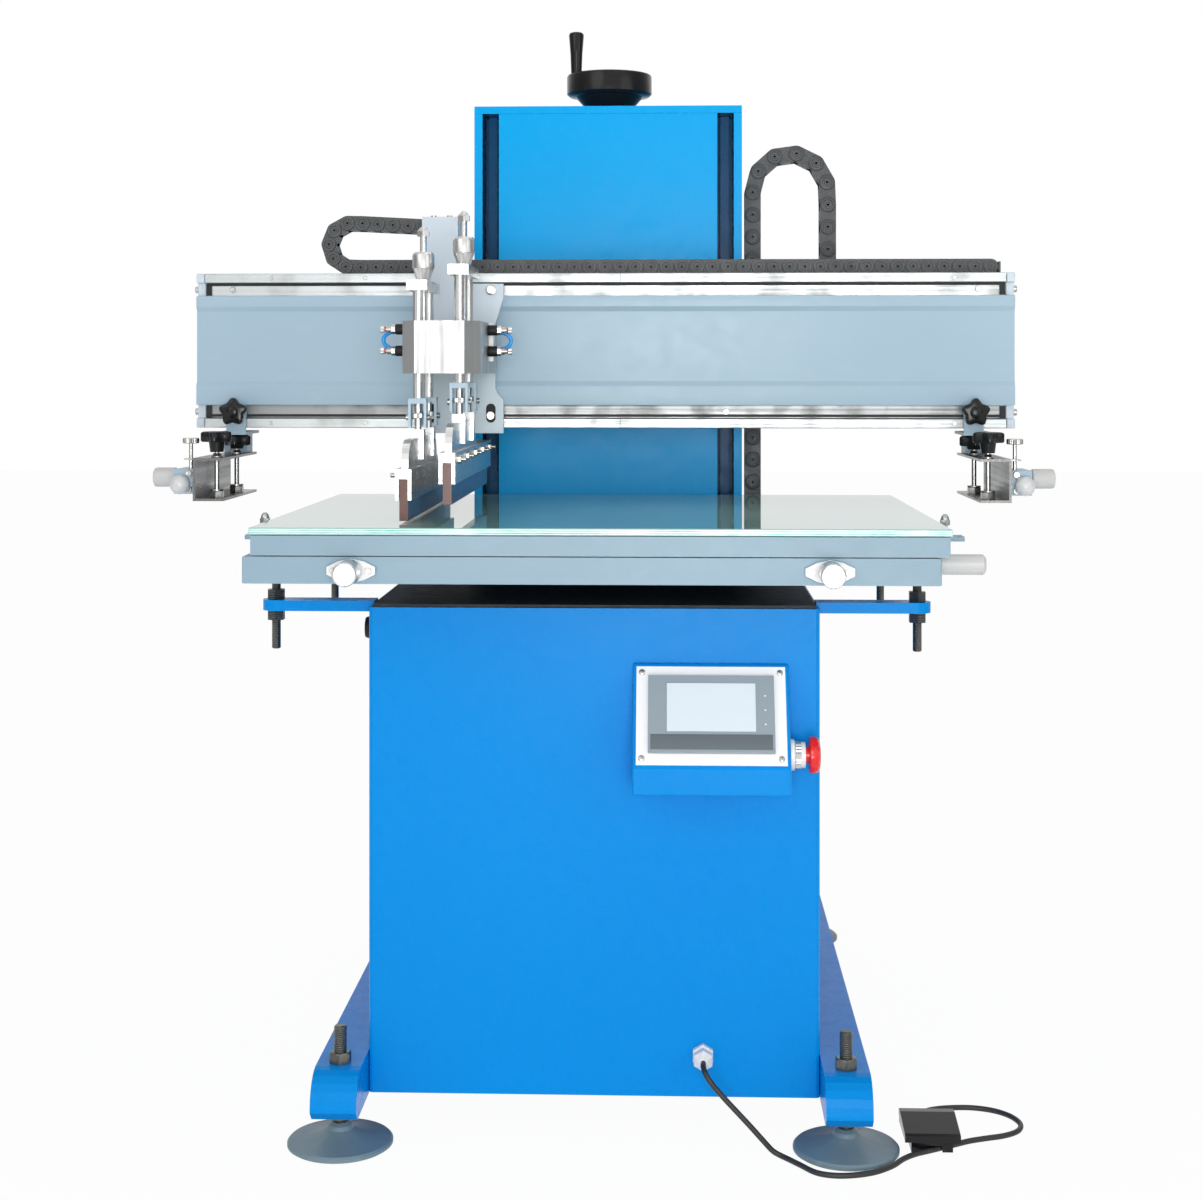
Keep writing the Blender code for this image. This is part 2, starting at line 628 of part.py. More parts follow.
def build_saddle():
    """Saddle behind the beam, with a shoe in each column slot and the chain's bracket."""
    front = BEAM_BACK + GAP
    back = front + SADDLE_DEPTH
    body = box((-SADDLE_HALF, front, SADDLE_LOW), (SADDLE_HALF, back, SADDLE_HIGH))
    rail_mid = COL_HALF - COL_FLANGE - COL_SLOT / 2
    rail_front = COL_FRONT + COL_SLOT_DEPTH - RAIL_DEPTH
    shoes = []
    for side in (-1, 1):
        centre = side * rail_mid
        half = RAIL_WIDTH / 2
        shoes.append(box((centre - half, back - 0.010, SADDLE_LOW + 0.010),
                         (centre + half, rail_front - RUN, SADDLE_HIGH - 0.010)))
        x_pair = sorted((side * (SADDLE_HALF - 0.010), centre + side * half))
        shoes.append(box((x_pair[0], back - 0.020, SADDLE_LOW + 0.010),
                         (x_pair[1], back, SADDLE_HIGH - 0.010)))
    chain_mid = COL_HALF + MOVE + LIFT_CHAIN_HEIGHT / 2 + 2 * LIFT_CHAIN_BEND
    chain_y = COL_FRONT + LIFT_CHAIN_SETBACK
    half = LIFT_CHAIN_HEIGHT / 2 + 0.003
    bracket_high = LIFT_CHAIN_END_Z - GAP
    foot = box((SADDLE_HALF - 0.010, front, bracket_high - 0.030),
               (chain_mid + half, front + 0.004, bracket_high))
    shelf = box((chain_mid - half, front + 0.002, bracket_high - 0.005),
                (chain_mid + half, chain_y + LIFT_CHAIN_WIDTH / 2, bracket_high))
    piece("saddle", fused(body, *shoes, foot, shelf), STEEL)


def walk(start, heading, legs):
    """Function of distance along straight legs and arcs in the XZ plane: point and heading."""
    parts = []
    x, z = start
    travelled = 0.0
    for kind, size, turn in legs:
        length = size if kind == "line" else abs(size * turn)
        parts.append((travelled, length, kind, size, turn, x, z, heading))
        if kind == "line":
            x += size * math.cos(heading)
            z += size * math.sin(heading)
        else:
            side = 1 if turn > 0 else -1
            centre_x = x - side * size * math.sin(heading)
            centre_z = z + side * size * math.cos(heading)
            heading += turn
            x = centre_x + side * size * math.sin(heading)
            z = centre_z - side * size * math.cos(heading)
        travelled += length

    def at(distance):
        distance = min(max(distance, 0.0), travelled)
        chosen = parts[0]
        for part in parts:
            if part[0] <= distance + 1e-9:
                chosen = part
        begin, _, kind, size, turn, px, pz, face = chosen
        run = distance - begin
        if kind == "line":
            return px + run * math.cos(face), pz + run * math.sin(face), face
        side = 1 if turn > 0 else -1
        centre_x = px - side * size * math.sin(face)
        centre_z = pz + side * size * math.cos(face)
        new_face = face + side * run / size
        return centre_x + side * size * math.sin(new_face), centre_z - side * size * math.cos(new_face), new_face

    return at, travelled


def drag_chain(at, total, pitch, height, width, middle_y):
    """Links along a path: each link's cheeks stand proud of the neck that pins the next one."""
    count = int(round(total / pitch))
    real = total / count
    stations = []
    for i in range(count):
        begin = i * real
        stations += [(begin + 0.02 * real, 0.0), (begin + 0.66 * real, 0.0),
                     (begin + 0.70 * real, CHAIN_STEP), (begin + 0.98 * real, CHAIN_STEP)]
    bm = bmesh.new()
    loops = []
    for distance, inset in stations:
        x, z, face = at(distance)
        across = Vector((-math.sin(face), 0.0, math.cos(face)))
        centre = Vector((x, middle_y, z))
        half_height = height / 2 - inset
        half_width = width / 2 - inset
        loop = []
        for sign_y, sign_h in ((-1, -1), (1, -1), (1, 1), (-1, 1)):
            point = centre + across * (sign_h * half_height) + Vector((0.0, sign_y * half_width, 0.0))
            loop.append(bm.verts.new(point))
        loops.append(loop)
    bm.faces.new(loops[0])
    bm.faces.new(list(reversed(loops[-1])))
    for low, high in zip(loops, loops[1:]):
        for i in range(4):
            j = (i + 1) % 4
            bm.faces.new((low[i], low[j], high[j], high[i]))
    return finished(bm)


def build_chains():
    """Energy chain along the beam's top to the carriage, and one up from the column's side."""
    lie = BEAM_TOP + GAP + TRAY_CHAIN_HEIGHT / 2
    run = TRAY_CHAIN_RIGHT - TRAY_CHAIN_BEND_X
    at, total = walk((TRAY_CHAIN_RIGHT, lie), math.pi,
                     [("line", run, 0.0), ("arc", TRAY_CHAIN_BEND, -math.pi - TRAY_CHAIN_DROOP),
                      ("line", TRAY_CHAIN_UPPER, 0.0)])
    chain = drag_chain(at, total, TRAY_CHAIN_PITCH, TRAY_CHAIN_HEIGHT, TRAY_CHAIN_WIDTH,
                       TRAY_CHAIN_BACK - TRAY_CHAIN_WIDTH / 2)
    piece("beam_chain", chain, CHAIN_BLACK)
    left = COL_HALF + MOVE + LIFT_CHAIN_HEIGHT / 2
    at, total = walk((left, LIFT_CHAIN_LOW), math.pi / 2,
                     [("line", LIFT_CHAIN_BEND_Z - LIFT_CHAIN_LOW, 0.0), ("arc", LIFT_CHAIN_BEND, -math.pi),
                      ("line", LIFT_CHAIN_BEND_Z - LIFT_CHAIN_END_Z, 0.0)])
    chain = drag_chain(at, total, LIFT_CHAIN_PITCH, LIFT_CHAIN_HEIGHT, LIFT_CHAIN_WIDTH,
                       COL_FRONT + LIFT_CHAIN_SETBACK)
    piece("lift_chain", chain, CHAIN_BLACK)


def cover_front():
    return BEAM_CORE_FRONT - GAP - COVER_PROUD - COVER_RIB


def build_carriage():
    """Carriage plate with its post and shoes, the cylinder block and the air fittings."""
    back = cover_front() - MOVE
    front = back - CARRIAGE_THICK
    waist = CARRIAGE_WAIST
    shoulder = CARRIAGE_WAIST * 0.7
    post_low = PLATE_X_LOW + POST_INSET
    lower_ear = CARRIAGE_LOW + LOWER_EAR
    lower_neck = lower_ear + EAR_SLOPE
    upper_ear = CARRIAGE_HIGH - UPPER_EAR
    upper_neck = upper_ear - 2 * EAR_SLOPE
    outline = [(PLATE_X_LOW, CARRIAGE_LOW), (PLATE_X_HIGH, CARRIAGE_LOW), (PLATE_X_HIGH, lower_ear),
               (PLATE_X_HIGH - shoulder, lower_neck - EAR_SLOPE / 2), (PLATE_X_HIGH - waist, lower_neck),
               (PLATE_X_HIGH - waist, upper_neck), (PLATE_X_HIGH - shoulder, upper_neck + EAR_SLOPE / 2),
               (PLATE_X_HIGH, upper_ear), (PLATE_X_HIGH, CARRIAGE_HIGH),
               (post_low + POST_WIDTH, CARRIAGE_HIGH), (post_low + POST_WIDTH, POST_TOP),
               (post_low, POST_TOP), (post_low, CARRIAGE_HIGH), (PLATE_X_LOW, CARRIAGE_HIGH),
               (PLATE_X_LOW, upper_ear), (PLATE_X_LOW + waist, upper_neck),
               (PLATE_X_LOW + waist, lower_neck), (PLATE_X_LOW, lower_ear)]
    plate = prism(outline, "Y", front, back)
    shoes = []
    half = SHOE_LENGTH / 2
    middle = (PLATE_X_LOW + PLATE_X_HIGH) / 2
    strip_gap = 0.0015
    for low, high in ((BEAM_LOW + STRIP_HEIGHT, COVER_LOW), (COVER_HIGH, BEAM_TOP - STRIP_HEIGHT)):
        shoes.append(box((middle - half, back - 0.002, low + strip_gap),
                         (middle + half, BEAM_CORE_FRONT - RUN, high - strip_gap)))
    ledge_back = TRAY_CHAIN_BACK - TRAY_CHAIN_WIDTH - MOVE
    shoes.append(box((post_low, back - 0.002, POST_TOP - 0.022), (post_low + POST_WIDTH, ledge_back, POST_TOP)))
    piece("carriage_plate", fused(plate, *shoes), GREY_BLUE)
    build_block(front - GAP)
    build_fittings()


def build_block(back):
    """Cylinder block, chamfered in front, bored for the guide rods and spindles."""
    low_x = CARRIAGE_X - BLOCK_WIDTH / 2
    high_x = CARRIAGE_X + BLOCK_WIDTH / 2
    outline = [(low_x, back), (low_x, BLOCK_FRONT + BLOCK_CHAMFER_Y), (low_x + BLOCK_CHAMFER_X, BLOCK_FRONT),
               (high_x - BLOCK_CHAMFER_X, BLOCK_FRONT), (high_x, BLOCK_FRONT + BLOCK_CHAMFER_Y), (high_x, back)]
    block = prism(outline, "Z", BLOCK_LOW, BLOCK_HIGH)
    holes = []
    for x in (SQUEEGEE_X, FLOOD_X):
        for y, radius in ((ROD_FRONT, ROD_RADIUS), (spindle_y(), SPINDLE_RADIUS), (ROD_REAR, ROD_RADIUS)):
            holes.append(turned([(BLOCK_LOW - 0.01, radius + RUN), (BLOCK_HIGH + 0.01, radius + RUN)],
                                (x, y, 0.0), sides=12))
    piece("cylinder_block", cut(block, *holes), ALUMINIUM)


def spindle_y():
    return (ROD_FRONT + ROD_REAR) / 2


def build_fittings():
    """Two push-in fittings on each side of the block, joined by a short hose."""
    for side, word, y in ((-1, "left", FITTING_LEFT_Y), (1, "right", FITTING_RIGHT_Y)):
        x = CARRIAGE_X + side * (BLOCK_WIDTH / 2 + GAP)
        bodies = []
        for i in range(2):
            z = FITTING_UPPER - i * FITTING_SPACING
            rings = [(0.0, FITTING_RADIUS), (0.012, FITTING_RADIUS), (0.012, FITTING_RADIUS * 0.75),
                     (0.019, FITTING_RADIUS * 0.75), (0.020, FITTING_RADIUS * 0.5),
                     (FITTING_REACH - 0.004, FITTING_RADIUS * 0.5), (FITTING_REACH - 0.004, FITTING_RADIUS * 0.62),
                     (FITTING_REACH, FITTING_RADIUS * 0.62)]
            bodies.append(turned(rings, (x, y, z), (side, 0, 0), sides=8))
        start = x + side * 0.021
        link = box((min(start, start + side * 0.003), y - HOSE_RADIUS, FITTING_UPPER - FITTING_SPACING),
                   (max(start, start + side * 0.003), y + HOSE_RADIUS, FITTING_UPPER))
        piece("air_fittings_" + word, fused(bodies[0], link, bodies[1]), BLACK)


def build_squeegee(word, x, raise_by, look):
    """Lifter of two guide rods and a spindle, blade holder hung from it, and the blade."""
    link_low = LINK_LOW + raise_by
    link_high = link_low + LINK_THICK
    y_mid = spindle_y()
    link = box((x - LINK_WIDTH / 2, ROD_FRONT - LINK_OVERHANG, link_low),
               (x + LINK_WIDTH / 2, ROD_REAR + LINK_OVERHANG, link_high))
    clevis_high = CLEVIS_HIGH + raise_by
    clevis_low = CLEVIS_LOW + raise_by
    parts = []
    for y in (ROD_FRONT, ROD_REAR):
        parts.append(turned([(clevis_high - 0.004, ROD_RADIUS), (link_low + 0.004, ROD_RADIUS)],
                            (x, y, 0.0), sides=12))
        half = CLEVIS_WIDTH / 2
        wall = CLEVIS_WALL
        fork = [(x - half, clevis_low), (x - half + wall, clevis_low), (x - half + wall, clevis_high - 2 * wall),
                (x + half - wall, clevis_high - 2 * wall), (x + half - wall, clevis_low), (x + half, clevis_low),
                (x + half, clevis_high), (x - half, clevis_high)]
        parts.append(prism(fork, "Y", y - CLEVIS_DEPTH / 2, y + CLEVIS_DEPTH / 2))
    top = SPINDLE_TOP + raise_by
    knob_top = link_high + STROKE_KNOB_HEIGHT + 0.002
    nut = SPINDLE_RADIUS * 1.7
    rings = [(BLOCK_LOW + 0.008 + raise_by, SPINDLE_RADIUS), (link_high + 0.002, SPINDLE_RADIUS),
             (link_high + 0.002, STROKE_KNOB_RADIUS * 0.62), (link_high + 0.016, STROKE_KNOB_RADIUS),
             (knob_top - 0.002, STROKE_KNOB_RADIUS), (knob_top, STROKE_KNOB_RADIUS * 0.85),
             (knob_top, SPINDLE_RADIUS), (top - 0.012, SPINDLE_RADIUS), (top - 0.012, nut, "hex"),
             (top - 0.006, nut, "hex"), (top - 0.003, SPINDLE_RADIUS * 1.2), (top, SPINDLE_RADIUS * 0.4)]
    parts.append(turned(rings, (x, y_mid, 0.0), sides=12))
    piece(word + "_lifter", fused(link, *parts), ALUMINIUM)
    build_holder(word, x, raise_by, clevis_high - 2 * CLEVIS_WALL)
    blade_low = GLASS_TOP + SHEET_ROOM + raise_by
    blade = box((x - BLADE_THICK / 2, BLADE_FRONT, blade_low),
                (x + BLADE_THICK / 2, BLADE_FRONT + BLADE_LENGTH, BLADE_HIGH + raise_by))
    piece(word + "_blade", blade, look)


def build_holder(word, x, raise_by, fork_roof):
    """Inverted channel over the blade, a spine with a round front corner, and two hangers."""
    half = HOLDER_WIDTH / 2
    slot = BLADE_THICK / 2 + GAP
    low = HOLDER_LOW + raise_by
    high = HOLDER_HIGH + raise_by
    roof = BLADE_HIGH + raise_by + GAP
    channel = [(x - half, low), (x - slot, low), (x - slot, roof), (x + slot, roof), (x + slot, low),
               (x + half, low), (x + half, high), (x - half, high)]
    front = BLADE_FRONT - 0.004
    back = BLADE_FRONT + BLADE_LENGTH + 0.004
    body = prism(channel, "Y", front, back)
    spine_high = SPINE_HIGH + raise_by
    spine_front = front + SPINE_INSET
    spine_back = ROD_REAR + SPINE_BEHIND_ROD
    corner = arc((spine_back - SPINE_CORNER, spine_high - SPINE_CORNER), SPINE_CORNER, 0, 90, 6)
    corner += arc((spine_front + SPINE_CORNER, spine_high - SPINE_CORNER), SPINE_CORNER, 90, 180, 6)
    outline = [(spine_front, high - 0.003), (spine_back, high - 0.003)] + corner
    spine = prism(outline, "X", x - SPINE_THICK / 2, x + SPINE_THICK / 2)
    hangers = []
    hanger_high = HANGER_HIGH + raise_by
    for y in (ROD_FRONT, ROD_REAR):
        hangers.append(box((x - HANGER_WIDTH / 2, y - HANGER_DEPTH / 2, HANGER_LOW + raise_by),
                           (x + HANGER_WIDTH / 2, y + HANGER_DEPTH / 2, hanger_high)))
        knurl = hanger_high + 0.013
        rings = [(hanger_high - 0.002, SPINDLE_RADIUS), (knurl, SPINDLE_RADIUS), (knurl, KNURL_RADIUS),
                 (knurl + 0.006, KNURL_RADIUS), (knurl + 0.006, SPINDLE_RADIUS), (fork_roof - GAP, SPINDLE_RADIUS)]
        hangers.append(turned(rings, (x, y, 0.0), sides=12))
    piece(word + "_holder", fused(body, spine, *hangers), ALUMINIUM)


def span(first, second):
    return (first, second) if first < second else (second, first)


def build_clamp(side, word):
    """C-channel for the screen frame, hung from the beam's lower groove."""
    out = side * CLAMP_OUT
    inner = side * CLAMP_IN
    web = side * (CLAMP_OUT - CLAMP_WALL)
    back = CLAMP_FRONT + CLAMP_DEPTH
    wall = CLAMP_WALL
    section = [(out, CLAMP_LOW), (inner, CLAMP_LOW), (inner, CLAMP_LOW + wall), (web, CLAMP_LOW + wall),
               (web, CLAMP_HIGH - wall), (inner, CLAMP_HIGH - wall), (inner, CLAMP_HIGH), (out, CLAMP_HIGH)]
    channel = prism(section, "Y", CLAMP_FRONT, back)
    screw_x = side * CLAMP_SCREW_REACH
    holes = []
    for y in (CLAMP_SCREW_FRONT, CLAMP_SCREW_REAR):
        holes.append(turned([(CLAMP_HIGH - 0.01, CLAMP_SCREW + RUN), (CLAMP_HIGH + 0.01, CLAMP_SCREW + RUN)],
                            (screw_x, y, 0.0), sides=12))
    piece("clamp_channel_" + word, cut(channel, *holes), STEEL)
    for row, y, high in (("front", CLAMP_SCREW_FRONT, CLAMP_KNOB_FRONT_HIGH),
                         ("rear", CLAMP_SCREW_REAR, CLAMP_KNOB_REAR_HIGH)):
        build_clamp_screw("clamp_screw_%s_%s" % (row, word), (screw_x, y, 0.0), high)
    build_clamp_hanger(side, word, back)
    build_adjuster(side, word)


def build_clamp_screw(name, place, knob_high):
    """Clamping screw with a five-lobed knob on top and its pressure nut below."""
    nut = CLAMP_SCREW * 2.6
    low = CLAMP_LOW + CLAMP_WALL + GAP
    seat = CLAMP_HIGH + GAP
    grip = knob_high - 0.0125
    rings = [(low, nut, "hex"), (low + 0.010, nut, "hex"), (low + 0.010, CLAMP_SCREW), (seat, CLAMP_SCREW),
             (seat, CLAMP_SCREW * 2.2), (seat + 0.004, CLAMP_SCREW * 2.2), (seat + 0.004, CLAMP_SCREW * 1.5),
             (CLAMP_KNOB_LOW, 0.009), (grip, 0.009), (grip, CLAMP_KNOB, "star"),
             (knob_high - 0.001, CLAMP_KNOB, "star"), (knob_high, CLAMP_KNOB * 0.9, "star")]
    piece(name, turned(rings, place, sides=20), BLACK)


def build_clamp_hanger(side, word, back):
    """Bracket from the channel's top up to the groove in the beam, with its locking knob."""
    plate_back = cover_front() - MOVE
    plate_front = plate_back - HANGER_CLAMP_THICK
    centre = side * (CLAMP_OUT - 0.016 - HANGER_CLAMP_HALF)
    x_low = centre - HANGER_CLAMP_HALF
    x_high = centre + HANGER_CLAMP_HALF
    shelf_high = BEAM_LOW - MOVE
    shelf_low = shelf_high - 0.0035
    seat = CLAMP_HIGH + GAP
    front = box((x_low, plate_front, shelf_low), (x_high, plate_back, HANGER_CLAMP_TOP))
    leg_x = span(side * (CLAMP_OUT - 0.0015), side * (CLAMP_OUT - 0.0015 - HANGER_LEG_WIDTH))
    shelf = box((min(x_low, leg_x[0]), plate_front, shelf_low), (max(x_high, leg_x[1]), back, shelf_high))
    leg = box((leg_x[0], back - HANGER_LEG_DEPTH, seat), (leg_x[1], back, shelf_low + 0.002))
    strip_gap = 0.0015
    lug = box((x_low + 0.002, plate_back - 0.002, BEAM_LOW + STRIP_HEIGHT + strip_gap),
              (x_high - 0.002, BEAM_CORE_FRONT - RUN, COVER_LOW - strip_gap))
    piece("clamp_hanger_" + word, fused(front, shelf, leg, lug), GREY_BLUE)
    place = (centre, plate_front - GAP, (BEAM_LOW + HANGER_CLAMP_TOP) / 2 + 0.004)
    rings = [(0.0, 0.008), (0.007, 0.008), (0.009, STAR_KNOB * 0.92, "star"), (0.020, STAR_KNOB, "star"),
             (0.022, STAR_KNOB * 0.9, "star")]
    piece("clamp_lock_knob_" + word, turned(rings, place, (0, -1, 0), sides=20), BLACK)


def build_adjuster(side, word):
    """Fine adjuster on the channel's outer side: block, two knobs and a thumb screw."""
    near = side * (CLAMP_OUT + GAP)
    far = side * (CLAMP_OUT + ADJUSTER_BODY)
    y_low = CLAMP_FRONT + 0.010
    y_high = y_low + 0.060
    x_pair = span(near, far)
    block = box((x_pair[0], y_low, ADJUSTER_LOW), (x_pair[1], y_high, ADJUSTER_HIGH))
    middle = (ADJUSTER_LOW + ADJUSTER_HIGH) / 2
    knob = ADJUSTER_KNOB
    front_knob = turned([(-0.003, knob * 0.5), (0.006, knob * 0.5), (0.007, knob), (0.016, knob),
                         (0.021, knob * 0.75), (0.023, knob * 0.3)],
                        (side * (CLAMP_OUT + ADJUSTER_BODY * 0.6), y_low, middle - 0.003), (0, -1, 0), sides=12)
    reach = ADJUSTER_REACH - CLAMP_OUT - ADJUSTER_BODY
    side_knob = turned([(-0.003, knob * 0.6), (0.006, knob * 0.6), (0.007, knob), (reach - 0.003, knob),
                        (reach, knob * 0.8)], (far, y_high - 0.018, middle + 0.003), (side, 0, 0), sides=12)
    thumb = turned([(ADJUSTER_HIGH - 0.004, 0.002), (0.760, 0.002), (0.760, 0.007), (0.764, 0.007)],
                   (side * (CLAMP_OUT + 0.007), y_low + 0.010, 0.0), sides=8)
    piece("clamp_adjuster_" + word, fused(block, front_knob, side_knob, thumb), GREY_BLUE)


def build_console():
    """Wedge console on the cabinet's front with its panel, display and emergency stop."""
    back = CAB_FRONT - GAP
    low_front = CAB_FRONT - CONSOLE_REACH
    high_front = CAB_FRONT - CONSOLE_TOP_REACH
    profile = [(back, CONSOLE_LOW), (back, CONSOLE_HIGH), (high_front, CONSOLE_HIGH),
               (low_front, CONSOLE_FASCIA), (low_front, CONSOLE_LOW)]
    piece("console", prism(profile, "X", CONSOLE_LOW_X, CONSOLE_HIGH_X), BLUE, edge=0.002, edge_steps=2)
    rise = Vector((0.0, high_front - low_front, CONSOLE_HIGH - CONSOLE_FASCIA))
    slope = rise.length
    along = rise.normalized()
    out = Vector((0.0, -along.z, along.y))
    centre = Vector(((CONSOLE_LOW_X + CONSOLE_HIGH_X) / 2, low_front, CONSOLE_FASCIA)) + rise / 2
    frame = Matrix.Translation(centre) @ Matrix(((1.0, 0.0, 0.0, 0.0), (0.0, along.y, out.y, 0.0),
                                                 (0.0, along.z, out.z, 0.0), (0.0, 0.0, 0.0, 1.0)))
    half = (CONSOLE_HIGH_X - CONSOLE_LOW_X) / 2 - PANEL_MARGIN
    reach = slope / 2 - PANEL_MARGIN
    panel = box((-half, -reach, GAP), (half, reach, GAP + PANEL_THICK))
    panel.transform(frame)
    piece("console_panel", panel, WHITE)
    low = GAP + PANEL_THICK + GAP
    bezel = box((-BEZEL_LENGTH / 2, -BEZEL_HEIGHT / 2, low), (BEZEL_LENGTH / 2, BEZEL_HEIGHT / 2, low + BEZEL_THICK))
    window = box((-SCREEN_LENGTH / 2, -SCREEN_HEIGHT / 2 + 0.007, low + BEZEL_THICK - 0.001),
                 (SCREEN_LENGTH / 2, SCREEN_HEIGHT / 2 + 0.007, low + BEZEL_THICK + 0.01))
    bezel = cut(bezel, window)
    bezel.transform(frame)
    piece("display", bezel, BLACK)
    build_stop()


def build_stop():
    place = (CONSOLE_HIGH_X + GAP, CAB_FRONT - STOP_BACK, STOP_Z)
    length = STOP_COLLAR_LENGTH
    collar = turned([(0.0, STOP_COLLAR + 0.003), (0.004, STOP_COLLAR + 0.003), (0.005, STOP_COLLAR),
                     (length, STOP_COLLAR)], place, (1, 0, 0))
    hole = turned([(-0.01, STOP_STEM + RUN), (length + 0.01, STOP_STEM + RUN)], place, (1, 0, 0))
    piece("stop_collar", cut(collar, hole), WHITE)
    seat = length + STOP_TRAVEL + RUN
    head = STOP_HEAD
    rings = [(STOP_TRAVEL + RUN, STOP_STEM), (seat, STOP_STEM), (seat, head * 0.95), (seat + 0.005, head),
             (seat + 0.010, head * 0.9), (seat + 0.012, head * 0.6)]
    piece("stop_button", turned(rings, place, (1, 0, 0)), RED, place)


CORD_ROUTE = [
    (0.121, -0.0287, 0.090), (0.121, -0.040, 0.0895), (0.1235, -0.049, 0.085), (0.131, -0.053, 0.075),
    (0.143, -0.055, 0.062), (0.157, -0.0575, 0.048), (0.171, -0.060, 0.034), (0.184, -0.061, 0.020),
    (0.1945, -0.060, 0.0085), (0.203, -0.0615, 0.0040), (0.211, -0.069, 0.0031), (0.222, -0.083, 0.0031),
    (0.238, -0.103, 0.0031), (0.257, -0.110, 0.0031), (0.279, -0.108, 0.0031), (0.301, -0.099, 0.0031),
    (0.320, -0.083, 0.0031), (0.334, -0.064, 0.0031), (0.3485, -0.0505, 0.0031), (0.364, -0.0412, 0.0031),
    (0.380, -0.0317, 0.0031), (0.396, -0.0221, 0.0031), (0.412, -0.0125, 0.0031), (0.430, -0.005, 0.0031),
    (0.453, 0.004, 0.0031),
    (0.470, 0.018, 0.0031), (0.476, 0.038, 0.0031), (0.469, 0.060, 0.0031), (0.453, 0.076, 0.0031),
    (0.431, 0.084, 0.0031), (0.409, 0.083, 0.0035), (0.389, 0.075, 0.0050), (0.375, 0.060, 0.0080),
    (0.369, 0.042, 0.0100), (0.368, 0.0265, 0.0100), (0.368, 0.0153, 0.0100),
]
CORD_POINTS = 60


def smooth_route(points, count):
    """Evenly spread points on a Catmull-Rom curve through the route's points."""
    knots = [Vector(p) for p in points]
    knots = [2 * knots[0] - knots[1]] + knots + [2 * knots[-1] - knots[-2]]
    dense = []
    for i in range(1, len(knots) - 2):
        a, b, c, d = knots[i - 1:i + 3]
        for step in range(12):
            t = step / 12
            dense.append(0.5 * (2 * b + (c - a) * t + (2 * a - 5 * b + 4 * c - d) * t ** 2
                                + (3 * b - a - 3 * c + d) * t ** 3))
    dense.append(knots[-2])
    lengths = [0.0]
    for a, b in zip(dense, dense[1:]):
        lengths.append(lengths[-1] + (b - a).length)
    result = []
    index = 0
    for i in range(count):
        target = lengths[-1] * i / (count - 1)
        while index < len(lengths) - 2 and lengths[index + 1] < target:
            index += 1
        part = (target - lengths[index]) / (lengths[index + 1] - lengths[index])
        result.append(dense[index].lerp(dense[index + 1], part))
    return result


def build_cord():
    """Gland on the cabinet's front and the pedal's cord along the floor."""
    rings = [(0.0, GLAND_RADIUS * 0.8), (0.001, GLAND_RADIUS, "hex"), (0.008, GLAND_RADIUS, "hex"),
             (0.009, GLAND_RADIUS * 0.8), (0.014, GLAND_RADIUS * 0.8), (0.015, GLAND_RADIUS * 0.95, "hex"),
             (0.022, GLAND_RADIUS * 0.9, "hex"), (GLAND_LENGTH, CORD_RADIUS * 1.8)]
    piece("gland", turned(rings, (GLAND_X, CAB_FRONT - GAP, GLAND_Z), (0, -1, 0), sides=12), WHITE)
    points = smooth_route([(x, CAB_FRONT + y, z) for x, y, z in CORD_ROUTE], CORD_POINTS)
    curve = bpy.data.curves.new("pedal_cord", "CURVE")
    curve.dimensions = "3D"
    curve.bevel_depth = CORD_RADIUS
    curve.bevel_resolution = 2
    curve.use_fill_caps = True
    line = curve.splines.new("POLY")
    line.points.add(len(points) - 1)
    for target, point in zip(line.points, points):
        target.co = (*point, 1.0)
    curve.materials.append(paint("pedal_cord", CHAIN_BLACK))
    cord = bpy.data.objects.new("pedal_cord", curve)
    bpy.context.collection.objects.link(cord)


